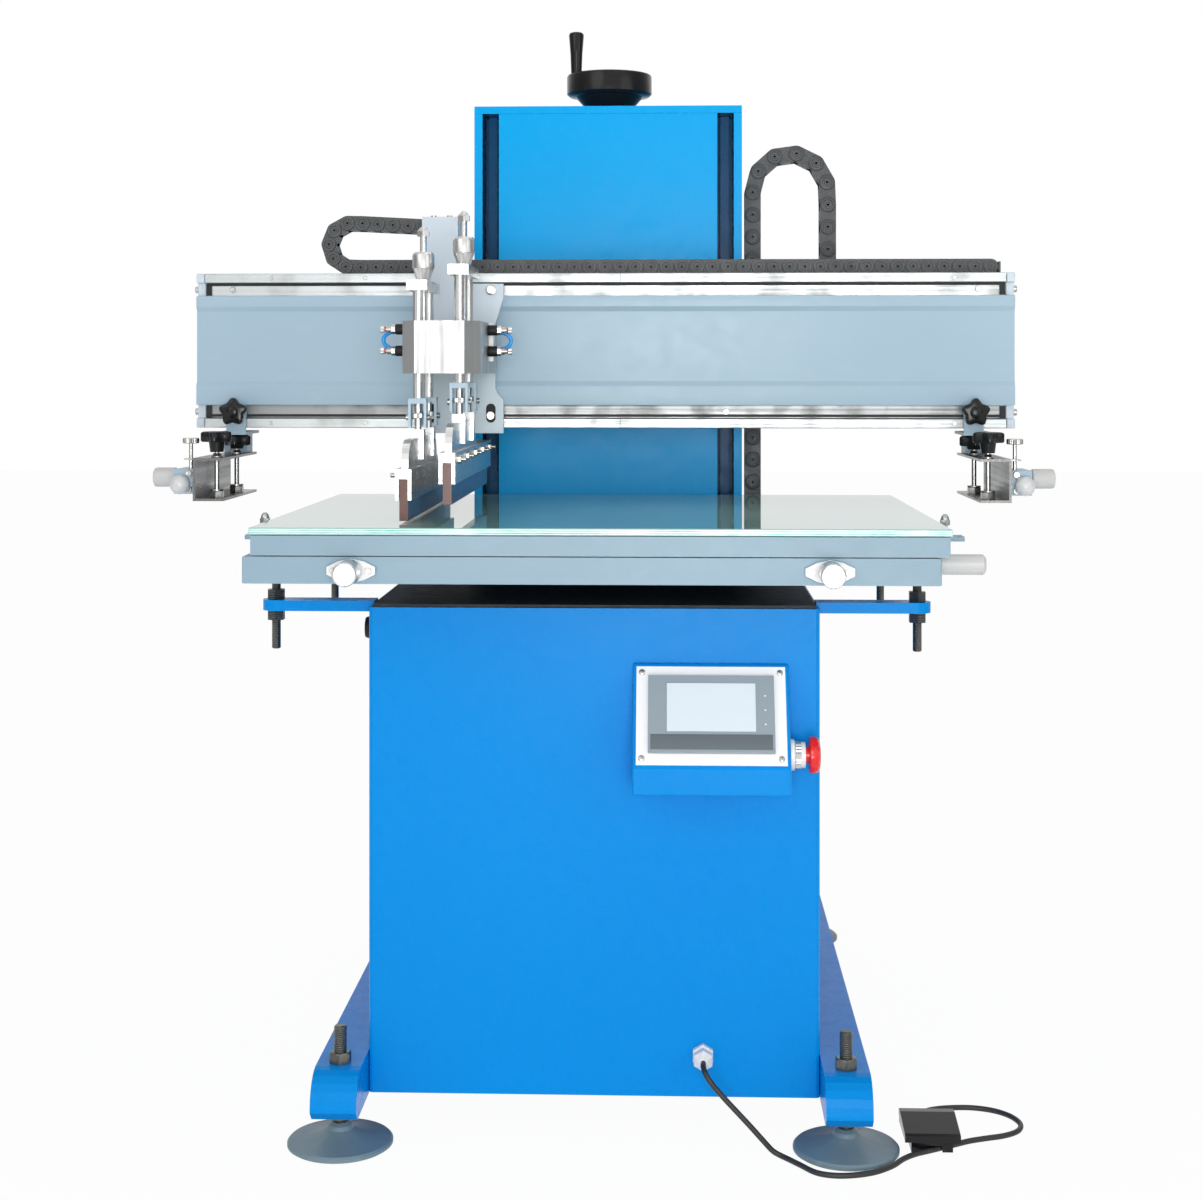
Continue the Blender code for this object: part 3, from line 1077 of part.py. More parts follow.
def build_pedal():
    """Foot switch: a floor plate with a heel, and a pad hinged on the heel."""
    x_low = PEDAL_LOW_X
    x_high = x_low + PEDAL_WIDTH
    back = PEDAL_FRONT + PEDAL_DEPTH
    heel = back - PEDAL_HEEL_DEPTH
    front = PEDAL_FRONT + PAD_WALL + PAD_PLAY
    inset = PAD_WALL + PAD_PLAY
    profile = [(front, 0.0), (back, 0.0), (back, PEDAL_HEEL_HIGH), (heel, PEDAL_HEEL_HIGH),
               (heel, PEDAL_FLOOR), (front, PEDAL_FLOOR)]
    base = prism(profile, "X", x_low + inset, x_high - inset)
    first = Vector((0.3485, CAB_FRONT - 0.0505, 0.0))
    last = Vector((0.412, CAB_FRONT - 0.0125, 0.0))
    run = last - first
    groove = box((-0.075, -CORD_RADIUS - 0.0015, -0.01), (0.075, CORD_RADIUS + 0.0015, 2 * CORD_RADIUS + 0.001))
    turn = Matrix.Rotation(math.atan2(run.y, run.x), 4, "Z")
    groove.transform(Matrix.Translation((first + last) / 2) @ turn)
    piece("pedal_base", cut(base, groove), BLACK)
    hinge = (0.0, back - 0.005, PEDAL_HEEL_HIGH + 0.003)
    under = PEDAL_HEEL_HIGH + 0.0008
    sill = PEDAL_FRONT + PAD_WALL
    bend = back - PEDAL_HEEL_DEPTH - 0.002
    top = [(PEDAL_FRONT, PAD_SKIRT_LOW), (sill, PAD_SKIRT_LOW), (sill, PAD_FRONT_HIGH - PAD_THICK),
           (bend, under), (back, under), (back, PAD_REAR_HIGH - 0.001), (bend, PAD_REAR_HIGH),
           (PEDAL_FRONT + 0.004, PAD_FRONT_HIGH), (PEDAL_FRONT, PAD_FRONT_HIGH - 0.0015)]
    nose = PEDAL_FRONT + MELT
    side = [(nose, PAD_SKIRT_LOW), (back - MELT, PAD_SKIRT_LOW), (back - MELT, PAD_REAR_HIGH - 0.002),
            (bend, PAD_REAR_HIGH - 0.001), (PEDAL_FRONT + 0.004, PAD_FRONT_HIGH - 0.001),
            (nose, PAD_FRONT_HIGH - 0.0025)]
    walls = [prism(side, "X", x_low + MELT, x_low + PAD_WALL),
             prism(side, "X", x_high - PAD_WALL, x_high - MELT)]
    centre = ((x_low + x_high) / 2, hinge[1], hinge[2])
    piece("pedal_pad", fused(prism(top, "X", x_low, x_high), *walls), BLACK, centre)


def main():
    clear_scene()
    build_cabinet()
    build_studs()
    build_legs()
    build_column()
    build_table()
    build_beam()
    build_chains()
    build_carriage()
    build_squeegee("squeegee", SQUEEGEE_X, 0.0, RUBBER_RED)
    build_squeegee("flood", FLOOD_X, FLOOD_RAISE, RUBBER_RED)
    for side, word in ((-1, "left"), (1, "right")):
        build_clamp(side, word)
    build_console()
    build_cord()
    build_pedal()


main()
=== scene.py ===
"""Looks of the flatbed screen printing machine: finishes, drag-chain links, screws, hoses and cord.

Laid out as a Blender add-on and run as a script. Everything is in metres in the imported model's
own frame, +Z up, with the operator on the -Y side.
"""
import math

import bmesh
import bpy
from bpy.props import FloatProperty, FloatVectorProperty, PointerProperty
from mathutils import Matrix, Vector


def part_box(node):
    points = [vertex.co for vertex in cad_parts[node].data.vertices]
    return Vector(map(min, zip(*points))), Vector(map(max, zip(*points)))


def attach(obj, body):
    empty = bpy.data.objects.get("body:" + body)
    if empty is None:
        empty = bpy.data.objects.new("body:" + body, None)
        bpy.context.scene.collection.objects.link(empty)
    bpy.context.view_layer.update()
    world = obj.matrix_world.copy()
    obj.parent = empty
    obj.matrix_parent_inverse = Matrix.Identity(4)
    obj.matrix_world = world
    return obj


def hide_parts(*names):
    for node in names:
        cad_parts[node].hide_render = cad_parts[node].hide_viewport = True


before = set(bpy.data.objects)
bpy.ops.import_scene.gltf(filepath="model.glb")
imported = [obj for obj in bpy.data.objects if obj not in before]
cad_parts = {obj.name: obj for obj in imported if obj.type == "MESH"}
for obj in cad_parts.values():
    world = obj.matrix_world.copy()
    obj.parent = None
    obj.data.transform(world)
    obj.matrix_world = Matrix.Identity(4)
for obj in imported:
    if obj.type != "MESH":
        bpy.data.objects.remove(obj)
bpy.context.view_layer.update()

bl_info = {
    "name": "Flatbed screen printing machine",
    "version": (1, 0, 0),
    "blender": (4, 5, 0),
    "location": "3D View > Sidebar > Printing machine",
    "description": "Builds the finishes and fine pieces of a flatbed screen printing machine",
    "category": "Add Mesh",
}

PHOTO_WIDTH = 1202
SENSOR_WIDTH = 36.0
UP = (0, 0, 1)
FORWARD = (0, -1, 0)
# Gap between a piece and the face that it sits on
SEAT = 0.0002
CABINET_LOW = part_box("cabinet")[0]
BEAM_LOW, BEAM_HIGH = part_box("beam")
COVER_LOW, COVER_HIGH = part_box("beam_cover")
PLATE_LOW, PLATE_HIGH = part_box("carriage_plate")
BLOCK_LOW, BLOCK_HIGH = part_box("cylinder_block")
COLUMN_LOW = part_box("column")[0]
GLASS_LOW, GLASS_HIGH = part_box("table_glass")
# Guide slots in the column's front
SLOT_INNER = 0.1484
SLOT_OUTER = 0.1711
SLOT_DEPTH = 0.0606
# Beam and its cover
STRIP_HEIGHT = 0.012
COVER_CREASE_LOW = 0.832
COVER_CREASE_HIGH = 0.920
COVER_CREASE = 0.006
COVER_SINK = 0.004
COVER_SCREW_OFF = 0.0085
# Painted shade: dark lines along the groove next to the strips, above and below the cover
SHADE_LINE_ABOVE = 0.0147
SHADE_LINE_BELOW = 0.0135
SHADE_LINE_HALF = 0.0016
END_SQUARE_INSET = 0.0045
STRIP_JOINT_X = 0.022
# Handwheel
RIM_TOP = 0.0516
RIM_HEIGHT = 0.0300
GRIP_INSET = 0.0130
GRIP_WIDE = 0.0105
# Drag chains
BEAM_CHAIN_HEIGHT = 0.019
BEAM_CHAIN_BEND = 0.0285
BEAM_CHAIN_UPPER = 0.121
BEAM_CHAIN_DROOP = math.radians(3.0)
LIFT_CHAIN_HEIGHT = 0.022
LIFT_CHAIN_END = 0.940
CHEEK = 0.0022
CHEEK_INSET = 0.0012
# Levelling feet
FOOT_STUD = 0.0068
FOOT_NUT_FLATS = FOOT_STUD * 1.6
FOOT_NUT_HEIGHT = 0.0118
# Lifters: heights over the lowest point of the lifter or the holder
FORK_HEIGHT = 0.0345
ROD_INSET = 0.014
CHANNEL_RISE = 0.034
THUMB_NUT_RISE = 0.087
STROKE_LINK_RISE = 0.171
# Clamps: X out from the middle plane, screws back from the cabinet's front, heights over the floor
CLAMP_SCREW_X = 0.465
CLAMP_SCREW_FRONT = 0.192
CLAMP_SCREW_REAR = 0.300
ADJUSTER_NEAR = 0.4903
ADJUSTER_FAR = 0.516
ADJUSTER_END = 0.550
ADJUSTER_LOW = 0.696
ADJUSTER_HIGH = 0.726
ADJUSTER_DEPTH = 0.060
BALL_X = 0.5056
BALL_RADIUS = 0.0118
THUMB_SCREW_X = 0.497
THUMB_SCREW_TOP = 0.7570
LUG_NEAR = 0.4902
LUG_FAR = 0.5035
LUG_LOW = 0.7375
LUG_HIGH = 0.7390
# Console
PANEL_THICK = 0.002
PANEL_RISE = (0.0, 0.056, 0.105)
DISPLAY_FACE = 0.0073
PANEL_SCREW_INSET = 0.006
PANEL_SCREW_RISE = 0.0485
LAMP_STEP = 0.016
# Table
FLANGE_SCREW_X = 0.019
ACORN_INSET = 0.020
ACORN_BACK = 0.043


def colour_property(name, description, value):
    return FloatVectorProperty(name=name, description=description, default=value, size=3,
                               subtype="COLOR", min=0.0, max=1.0)


def length_property(name, description, value):
    return FloatProperty(name=name, description=description, default=value, unit="LENGTH", min=0.0)


class FinishSettings(bpy.types.PropertyGroup):
    """Colours of the machine's finishes."""
    cabinet_blue: colour_property("Cabinet blue", "Powder coat of the cabinet and legs", (0.0, 0.255, 0.70))
    column_blue: colour_property("Column blue", "Powder coat of the column", (0.0, 0.42, 0.90))
    grey_blue: colour_property("Grey blue", "Paint of the beam, table and carriage", (0.40, 0.54, 0.64))
    aluminium: colour_property("Aluminium", "Machined aluminium", (0.72, 0.72, 0.71))
    steel: colour_property("Steel", "Zinc-plated and stainless steel", (0.40, 0.395, 0.38))
    stud: colour_property("Stud", "Blackened studs and their nuts", (0.17, 0.17, 0.155))
    black: colour_property("Black", "Moulded knobs and the handwheel", (0.009, 0.009, 0.010))
    chain: colour_property("Chain", "Nylon of the drag chains", (0.055, 0.060, 0.062))
    glass: colour_property("Glass", "Body of the print table's glass", (0.26, 0.50, 0.44))
    glass_edge: colour_property("Glass edge", "Broken edge of the glass", (0.05, 0.55, 0.48))
    blade: colour_property("Blade", "Cast polyurethane blades", (0.12, 0.030, 0.016))
    hose: colour_property("Hose", "Air hose", (0.0, 0.30, 0.80))
    pad: colour_property("Foot pad", "Moulded foot pads", (0.17, 0.25, 0.29))
    white: colour_property("White", "Panel plate, gland and grips", (0.82, 0.82, 0.81))
    screen: colour_property("Screen", "Display as it shows switched off", (0.70, 0.78, 0.84))
    red: colour_property("Red", "Emergency stop", (0.78, 0.010, 0.012))


class DetailSettings(bpy.types.PropertyGroup):
    """Sizes of the fine pieces."""
    screw_radius: length_property("Screw head", "Radius of a socket screw's head", 0.0045)
    thread_pitch: length_property("Thread pitch", "Pitch of the coarse threads", 0.0020)
    beam_link: length_property("Beam chain link", "Pitch of the chain on the beam", 0.0196)
    lift_link: length_property("Lift chain link", "Pitch of the chain beside the column", 0.0310)
    cord_radius: length_property("Cord radius", "Radius of the pedal's cord", 0.0030)
    hose_radius: length_property("Hose radius", "Radius of an air hose", 0.0024)


class StageSettings(bpy.types.PropertyGroup):
    """Camera and light."""
    lens_px: FloatProperty(name="Lens", description="Focal length in pixels of the photo's width",
                           default=1950.0, min=100.0)
    camera_x: FloatProperty(name="Camera X", description="Camera beside the machine's middle plane",
                            default=0.086, unit="LENGTH")
    camera_back: length_property("Camera distance", "From the lens to the cabinet's front", 2.157)
    camera_z: length_property("Camera height", "Above the floor", 0.844)
    yaw: FloatProperty(name="Yaw", description="Turn of the camera to its left",
                       default=math.radians(2.06), subtype="ANGLE")
    rise: FloatProperty(name="Rise", description="Vertical shift as a share of the photo's width",
                        default=-0.190)
    key_power: FloatProperty(name="Key light", description="Power of the large front light",
                             default=20.0, subtype="POWER")
    fill_power: FloatProperty(name="Fill light", description="Power of the side light",
                              default=12.0, subtype="POWER")
    low_power: FloatProperty(name="Low light", description="Power of the lamp level with the table",
                             default=46.0, subtype="POWER")
    world_level: FloatProperty(name="World", description="Strength of the even light", default=0.52)


def settings():
    return bpy.context.scene.printing_machine


# Node groups that several materials share

class Tree:
    """A shader tree, with short ways to add nodes and to join them."""

    def __init__(self, tree):
        self.nodes = tree.nodes
        self.links = tree.links

    def add(self, kind, **values):
        node = self.nodes.new(kind)
        for key, value in values.items():
            setattr(node, key, value)
        return node

    def feed(self, value, socket):
        """Give a socket a plain value or another node's output."""
        if isinstance(value, (int, float, tuple)):
            socket.default_value = value
        else:
            self.links.new(value, socket)

    def place(self, kind="Object"):
        return self.add("ShaderNodeTexCoord").outputs[kind]

    def axes(self, vector):
        """X, Y and Z of a vector, by name."""
        node = self.add("ShaderNodeSeparateXYZ")
        self.feed(vector, node.inputs["Vector"])
        return node.outputs

    def noise(self, vector, scale, detail):
        node = self.add("ShaderNodeTexNoise")
        for socket, value in (("Vector", vector), ("Scale", scale), ("Detail", detail)):
            self.feed(value, node.inputs[socket])
        return node.outputs["Fac"]

    def ranged(self, source, low, high, from_low=0.3, from_high=0.7):
        """Map a value from one range to another, whose ends may be sockets."""
        node = self.add("ShaderNodeMapRange")
        for socket, value in (("Value", source), ("From Min", from_low), ("From Max", from_high),
                              ("To Min", low), ("To Max", high)):
            self.feed(value, node.inputs[socket])
        return node.outputs["Result"]

    def math(self, operation, first, second=0.0):
        node = self.add("ShaderNodeMath", operation=operation)
        self.feed(first, node.inputs[0])
        self.feed(second, node.inputs[1])
        return node.outputs[0]

    def between(self, value, low, high):
        """Mask of where a value lies between two limits."""
        return self.math("MULTIPLY", self.math("GREATER_THAN", value, low),
                         self.math("LESS_THAN", value, high))

    def mixed(self, factor, first, second, blend="MIX"):
        node = self.add("ShaderNodeMix", data_type="RGBA", blend_type=blend)
        for index, value in ((0, factor), (6, first), (7, second)):
            self.feed(value, node.inputs[index])
        return node.outputs[2]

    def bump(self, height, strength, distance, normal):
        """Bump from a height, joined to a socket for normals."""
        node = self.add("ShaderNodeBump")
        for socket, value in (("Height", height), ("Strength", strength), ("Distance", distance)):
            self.feed(value, node.inputs[socket])
        self.feed(node.outputs["Normal"], normal)

    def shared(self):
        """The shared group in a material made by film or metal."""
        return next(node for node in self.nodes if node.type == "GROUP")


def group_base(name, inputs, outputs):
    group = bpy.data.node_groups.new(name, "ShaderNodeTree")
    for socket, kind, value in inputs:
        item = group.interface.new_socket(name=socket, in_out="INPUT", socket_type=kind)
        item.default_value = value
    for socket, kind in outputs:
        group.interface.new_socket(name=socket, in_out="OUTPUT", socket_type=kind)
    tree = Tree(group)
    return group, tree, tree.add("NodeGroupInput").outputs, tree.add("NodeGroupOutput").inputs


def make_film_group():
    """Painted or moulded skin: cloudy tone, faint scuffs, orange peel and a varying gloss."""
    group, tree, source, sink = group_base(
        "surface film",
        [("Color", "NodeSocketColor", (0.5, 0.5, 0.5, 1.0)), ("Roughness", "NodeSocketFloat", 0.4),
         ("Mottle", "NodeSocketFloat", 0.08), ("Scuffs", "NodeSocketFloat", 0.1),
         ("Peel Scale", "NodeSocketFloat", 500.0), ("Peel", "NodeSocketFloat", 0.1)],
        [("Color", "NodeSocketColor"), ("Roughness", "NodeSocketFloat"), ("Normal", "NodeSocketVector")])
    place = tree.place()
    cloud = tree.noise(place, 3.5, 3.0)
    fine = tree.noise(place, 60.0, 5.0)
    stretched = tree.add("ShaderNodeMapping")
    stretched.inputs["Scale"].default_value = (14.0, 90.0, 30.0)
    stretched.inputs["Rotation"].default_value = (0.3, 0.5, 0.2)
    tree.feed(place, stretched.inputs["Vector"])
    scratch = tree.noise(stretched.outputs["Vector"], 2.0, 4.0)
    scuff = tree.math("MULTIPLY", tree.ranged(scratch, 0.0, 1.0, 0.60, 0.74), source["Scuffs"])
    dark = tree.mixed(1.0, source["Color"], (0.82, 0.84, 0.88, 1.0), "MULTIPLY")
    amount = tree.math("MULTIPLY", tree.ranged(cloud, 0.0, 5.0), source["Mottle"])
    toned = tree.mixed(amount, source["Color"], dark)
    pale = tree.mixed(scuff, toned, (0.75, 0.78, 0.80, 1.0))
    tree.feed(pale, sink["Color"])
    spread = tree.math("ADD", source["Roughness"],
                       tree.math("MULTIPLY", tree.ranged(fine, -1.0, 1.0), 0.05))
    tree.feed(tree.math("ADD", spread, scuff), sink["Roughness"])
    peel = tree.noise(place, source["Peel Scale"], 2.0)
    tree.bump(peel, source["Peel"], 0.0004, sink["Normal"])
    return group


def make_grain_group():
    """Machined or brushed metal: fine lines along one axis, stains and a varying sheen."""
    group, tree, source, sink = group_base(
        "metal grain",
        [("Color", "NodeSocketColor", (0.8, 0.8, 0.8, 1.0)), ("Roughness", "NodeSocketFloat", 0.3),
         ("Stretch", "NodeSocketVector", (4.0, 300.0, 300.0)), ("Grain", "NodeSocketFloat", 0.15),
         ("Stain", "NodeSocketFloat", 0.2)],
        [("Color", "NodeSocketColor"), ("Roughness", "NodeSocketFloat"), ("Normal", "NodeSocketVector")])
    place = tree.place()
    scaled = tree.add("ShaderNodeVectorMath", operation="MULTIPLY")
    tree.feed(place, scaled.inputs[0])
    tree.feed(source["Stretch"], scaled.inputs[1])
    lines = tree.noise(scaled.outputs["Vector"], 1.0, 4.0)
    stains = tree.noise(place, 26.0, 5.0)
    amount = tree.math("MULTIPLY", tree.ranged(stains, 0.0, 1.0, 0.48, 0.72), source["Stain"])
    dark = tree.mixed(1.0, source["Color"], (0.62, 0.60, 0.56, 1.0), "MULTIPLY")
    toned = tree.mixed(amount, source["Color"], dark)
    lined = tree.mixed(tree.ranged(lines, 0.0, 0.22), toned, (0.45, 0.45, 0.45, 1.0), "MULTIPLY")
    tree.feed(lined, sink["Color"])
    rough = tree.math("ADD", source["Roughness"],
                      tree.math("MULTIPLY", tree.ranged(lines, -0.5, 1.0), 0.12))
    tree.feed(tree.math("ADD", rough, tree.math("MULTIPLY", amount, 0.25)), sink["Roughness"])
    tree.bump(lines, source["Grain"], 0.0003, sink["Normal"])
    return group


def shared_group(name, maker):
    return bpy.data.node_groups.get(name) or maker()


def material_base(name, roughness, metallic, **sockets):
    material = bpy.data.materials.new(name)
    material.use_nodes = True
    shader = material.node_tree.nodes["Principled BSDF"]
    shader.inputs["Roughness"].default_value = roughness
    shader.inputs["Metallic"].default_value = metallic
    for key, value in sockets.items():
        shader.inputs[key.replace("_", " ")].default_value = value
    return material, Tree(material.node_tree), shader


def wire_group(tree, shader, group, values):
    """Join a shared group with its own values to a material's shader."""
    node = tree.add("ShaderNodeGroup", node_tree=group)
    for key, value in values.items():
        node.inputs[key].default_value = value
    for made, taken in (("Color", "Base Color"), ("Roughness", "Roughness"), ("Normal", "Normal")):
        tree.feed(node.outputs[made], shader.inputs[taken])


def film(name, colour, roughness, mottle, scuffs, peel_scale, peel, **sockets):
    """Paint, moulded plastic or rubber."""
    material, tree, shader = material_base(name, roughness, 0.0, **sockets)
    wire_group(tree, shader, shared_group("surface film", make_film_group),
               {"Color": (*colour, 1.0), "Roughness": roughness, "Mottle": mottle, "Scuffs": scuffs,
                "Peel Scale": peel_scale, "Peel": peel})
    return material


def metal(name, colour, roughness, stretch, grain, stain):
    """Bare metal with its grain along one axis."""
    material, tree, shader = material_base(name, roughness, 1.0)
    wire_group(tree, shader, shared_group("metal grain", make_grain_group),
               {"Color": (*colour, 1.0), "Roughness": roughness, "Stretch": stretch, "Grain": grain,
                "Stain": stain})
    return material


def column_material(name, colour, *values, **sockets):
    """The column's powder coat, with painted shade inside its two guide slots."""
    material = film(name, colour, *values, **sockets)
    tree = Tree(material.node_tree)
    # Painted shade: the inner faces of the two slots are coloured dark blue
    place = tree.axes(tree.place())
    across = tree.math("ABSOLUTE", place["X"])
    wide = tree.between(across, SLOT_INNER, SLOT_OUTER)
    deep = tree.between(place["Y"], COLUMN_LOW.y + 0.0008, COLUMN_LOW.y + SLOT_DEPTH)
    slot = tree.math("MULTIPLY", wide, deep)
    tree.feed(tree.mixed(slot, (*colour, 1.0), (0.0, 0.095, 0.25, 1.0)),
              tree.shared().inputs["Color"])
    return material


def beam_material(name, colour, *values):
    """Extruded aluminium, with painted shade darkening the recess under the cover."""
    material = metal(name, colour, *values)
    tree = Tree(material.node_tree)
    height = tree.axes(tree.place())["Z"]
    # Painted shade: the recess between the lower strip and the cover is coloured dark grey
    recess = tree.between(height, BEAM_LOW.z + STRIP_HEIGHT, COVER_LOW.z)
    tree.feed(tree.mixed(recess, (*colour, 1.0), (0.24, 0.25, 0.25, 1.0)),
              tree.shared().inputs["Color"])
    return material


def lifter_material(name, fork_low, fork_high):
    """Turned aluminium rods that end in grey-blue forks."""
    material = metal(name, (0.62, 0.62, 0.61), 0.24, TURNED_GRAIN, 0.2, 0.1)
    tree = Tree(material.node_tree)
    shader = tree.nodes["Principled BSDF"]
    fork = tree.between(tree.axes(tree.place())["Z"], fork_low, fork_high)
    paint = (*settings().finishes.grey_blue, 1.0)
    tree.feed(tree.mixed(fork, tree.shared().outputs["Color"], paint), shader.inputs["Base Color"])
    tree.feed(tree.math("SUBTRACT", 1.0, fork), shader.inputs["Metallic"])
    return material


def threaded_steel(name, colour, *values):
    """Blackened steel with a fine thread cut round it, for upright studs."""
    material = metal(name, colour, *values)
    tree = Tree(material.node_tree)
    wave = tree.add("ShaderNodeTexWave", bands_direction="Z")
    wave.inputs["Scale"].default_value = 2 * math.pi / (20.0 * settings().details.thread_pitch)
    wave.inputs["Distortion"].default_value = 0.0
    tree.feed(tree.place(), wave.inputs["Vector"])
    tree.bump(wave.outputs["Fac"], 0.9, 0.0010, tree.nodes["Principled BSDF"].inputs["Normal"])
    return material


def glass_material():
    """Green float glass: clear face, frosted teal on its broken edges."""
    finishes = settings().finishes
    material, tree, shader = material_base("float glass", 0.03, 0.0, IOR=1.52, Transmission_Weight=0.10)
    place = tree.place()
    normal = tree.add("ShaderNodeNewGeometry").outputs["True Normal"]
    upright = tree.math("ABSOLUTE", tree.axes(normal)["Z"])
    edge = tree.ranged(upright, 1.0, 0.0, 0.35, 0.75)
    chips = tree.noise(place, 30.0, 5.0)
    middle = (GLASS_LOW.z + GLASS_HIGH.z) / 2
    away = tree.math("ABSOLUTE", tree.math("SUBTRACT", tree.axes(place)["Z"], middle))
    off_line = tree.math("ABSOLUTE", tree.math("SUBTRACT", away, 0.0013))
    streak = tree.ranged(off_line, 1.0, 0.0, 0.0003, 0.0008)
    breaks = tree.noise(place, 14.0, 5.0)
    streak = tree.math("MULTIPLY", streak, tree.ranged(breaks, 0.15, 1.0, 0.42, 0.60))
    teal = tree.mixed(streak, (0.72, 0.90, 0.88, 1.0), (*finishes.glass_edge, 1.0))
    haze = tree.noise(place, 5.0, 6.0)
    body = tree.mixed(tree.ranged(haze, 0.0, 0.35), (*finishes.glass, 1.0), (0.40, 0.60, 0.54, 1.0))
    tree.feed(tree.mixed(edge, body, teal), shader.inputs["Base Color"])
    smudge = tree.ranged(haze, 0.015, 0.10, 0.45, 0.75)
    rough = tree.math("ADD", smudge, tree.math("MULTIPLY", edge, 0.22))
    tree.feed(rough, shader.inputs["Roughness"])
    tree.bump(chips, tree.math("MULTIPLY", edge, 0.8), 0.002, shader.inputs["Normal"])
    return material


STEEL_GRAIN = (90.0, 90.0, 20.0)
TURNED_GRAIN = (260.0, 260.0, 20.0)
# Maker, material's name, colour or its setting, then film's or metal's values in order and further sockets
LOOKS = {
    "column": (column_material, "column powder coat", "column_blue", (0.26, 0.06, 0.0, 260.0, 0.14),
               {"Specular_IOR_Level": 0.10}),
    "strip": (beam_material, "extruded aluminium", (0.45, 0.475, 0.48),
              (0.38, (2.0, 400.0, 400.0), 0.2, 0.55), {}),
    "thread": (threaded_steel, "threaded steel", "stud", (0.32, (120.0, 120.0, 120.0), 0.1, 0.3), {}),
    "cabinet": (film, "cabinet powder coat", "cabinet_blue", (0.28, 0.05, 0.0, 260.0, 0.16),
                {"Specular_IOR_Level": 0.10}),
    "grey": (film, "grey-blue paint", "grey_blue", (0.36, 0.10, 0.05, 420.0, 0.12),
             {"Specular_IOR_Level": 0.35}),
    "table": (film, "table paint", (0.27, 0.39, 0.47), (0.38, 0.10, 0.04, 420.0, 0.12),
              {"Specular_IOR_Level": 0.3}),
    "pale": (film, "pale grey paint", (0.61, 0.70, 0.77), (0.40, 0.10, 0.04, 420.0, 0.10), {}),
    "panel": (film, "panel plate", (0.94, 0.94, 0.94), (0.40, 0.03, 0.0, 400.0, 0.05), {}),
    "ivory": (film, "ivory plastic", (0.60, 0.60, 0.58), (0.34, 0.06, 0.0, 400.0, 0.05), {}),
    "slate": (film, "slate plastic", (0.28, 0.34, 0.38), (0.40, 0.08, 0.0, 500.0, 0.10), {}),
    "slate_low": (film, "deep slate plastic", (0.11, 0.135, 0.15), (0.40, 0.08, 0.0, 500.0, 0.10), {}),
    "pearl": (film, "pearl plastic", (0.66, 0.67, 0.66), (0.30, 0.06, 0.0, 500.0, 0.03),
              {"Coat_Weight": 0.25}),
    "black": (film, "glossy black plastic", "black", (0.20, 0.1, 0.01, 700.0, 0.05),
              {"Specular_IOR_Level": 0.28}),
    "dark": (film, "matt black", (0.010, 0.011, 0.012), (0.5, 0.2, 0.03, 600.0, 0.2),
             {"Specular_IOR_Level": 0.3}),
    "chain": (film, "chain nylon", "chain", (0.46, 0.25, 0.04, 900.0, 0.2), {}),
    "blade": (film, "blade polyurethane", "blade", (0.22, 0.25, 0.02, 120.0, 0.05), {"Coat_Weight": 0.25}),
    "hose": (film, "hose polyurethane", "hose", (0.22, 0.05, 0.0, 300.0, 0.02), {"Coat_Weight": 0.3}),
    "pad": (film, "foot pad nylon", "pad", (0.45, 0.25, 0.06, 500.0, 0.2), {}),
    "white": (film, "white plastic", "white", (0.36, 0.05, 0.0, 400.0, 0.05), {}),
    "screen": (film, "display glass", "screen", (0.12, 0.05, 0.0, 80.0, 0.0), {"Coat_Weight": 0.6}),
    "red": (film, "red plastic", "red", (0.30, 0.08, 0.0, 300.0, 0.04), {"Coat_Weight": 0.1}),
    "cord": (film, "cord rubber", (0.018, 0.018, 0.019), (0.5, 0.2, 0.02, 600.0, 0.2), {}),
    "aluminium": (metal, "machined aluminium", "aluminium", (0.30, (3.0, 260.0, 260.0), 0.18, 0.25), {}),
    "block": (metal, "milled aluminium", (0.50, 0.505, 0.50), (0.40, (200.0, 40.0, 7.0), 0.2, 0.2), {}),
    "turned": (metal, "turned aluminium", (0.70, 0.70, 0.69), (0.24, TURNED_GRAIN, 0.2, 0.1), {}),
    "steel": (metal, "plated steel", "steel", (0.28, STEEL_GRAIN, 0.12, 0.35), {}),
    "oxide": (metal, "blackened steel", "stud", (0.34, STEEL_GRAIN, 0.12, 0.3), {}),
    "stainless": (metal, "brushed stainless", (0.17, 0.167, 0.16), (0.28, (260.0, 5.0, 260.0), 0.2, 0.2), {}),
    "screw": (metal, "screw steel", (0.50, 0.49, 0.47), (0.24, (300.0, 300.0, 60.0), 0.1, 0.3), {}),
}


def finish(key):
    """A named finish, made once and then shared."""
    maker, name, colour, values, sockets = LOOKS[key]
    if name not in bpy.data.materials:
        if isinstance(colour, str):
            colour = getattr(settings().finishes, colour)
        maker(name, colour, *values, **sockets)
    return bpy.data.materials[name]


# Shapes

def along(place, direction):
    turn = Vector(direction).to_track_quat("Z", "Y").to_matrix().to_4x4()
    return Matrix.Translation(Vector(place)) @ turn


def reach(shape, radius, angle):
    """Radius of a ring at an angle: round, hexagon by its flats, five lobes, or knurled."""
    if shape == "hex":
        sector = math.radians(60)
        return radius / math.cos((angle + sector / 2) % sector - sector / 2)
    if shape == "star":
        return radius * (1.0 + 0.14 * math.cos(5 * (angle - math.pi / 2)))
    if shape == "knurl":
        return radius * (1.0 + 0.03 * math.cos(24 * angle))
    if shape == "ribs":
        return radius * (1.0 + 0.012 * math.cos(12 * angle))
    return radius


def close_rings(bm, rings):
    """Closed body over rings of vertices, from the first to the last."""
    faces = [bm.faces.new(list(reversed(rings[0]))), bm.faces.new(rings[-1])]
    for low, high in zip(rings, rings[1:]):
        for i in range(len(low)):
            j = (i + 1) % len(low)
            faces.append(bm.faces.new((low[i], low[j], high[j], high[i])))
    bmesh.ops.recalc_face_normals(bm, faces=faces)


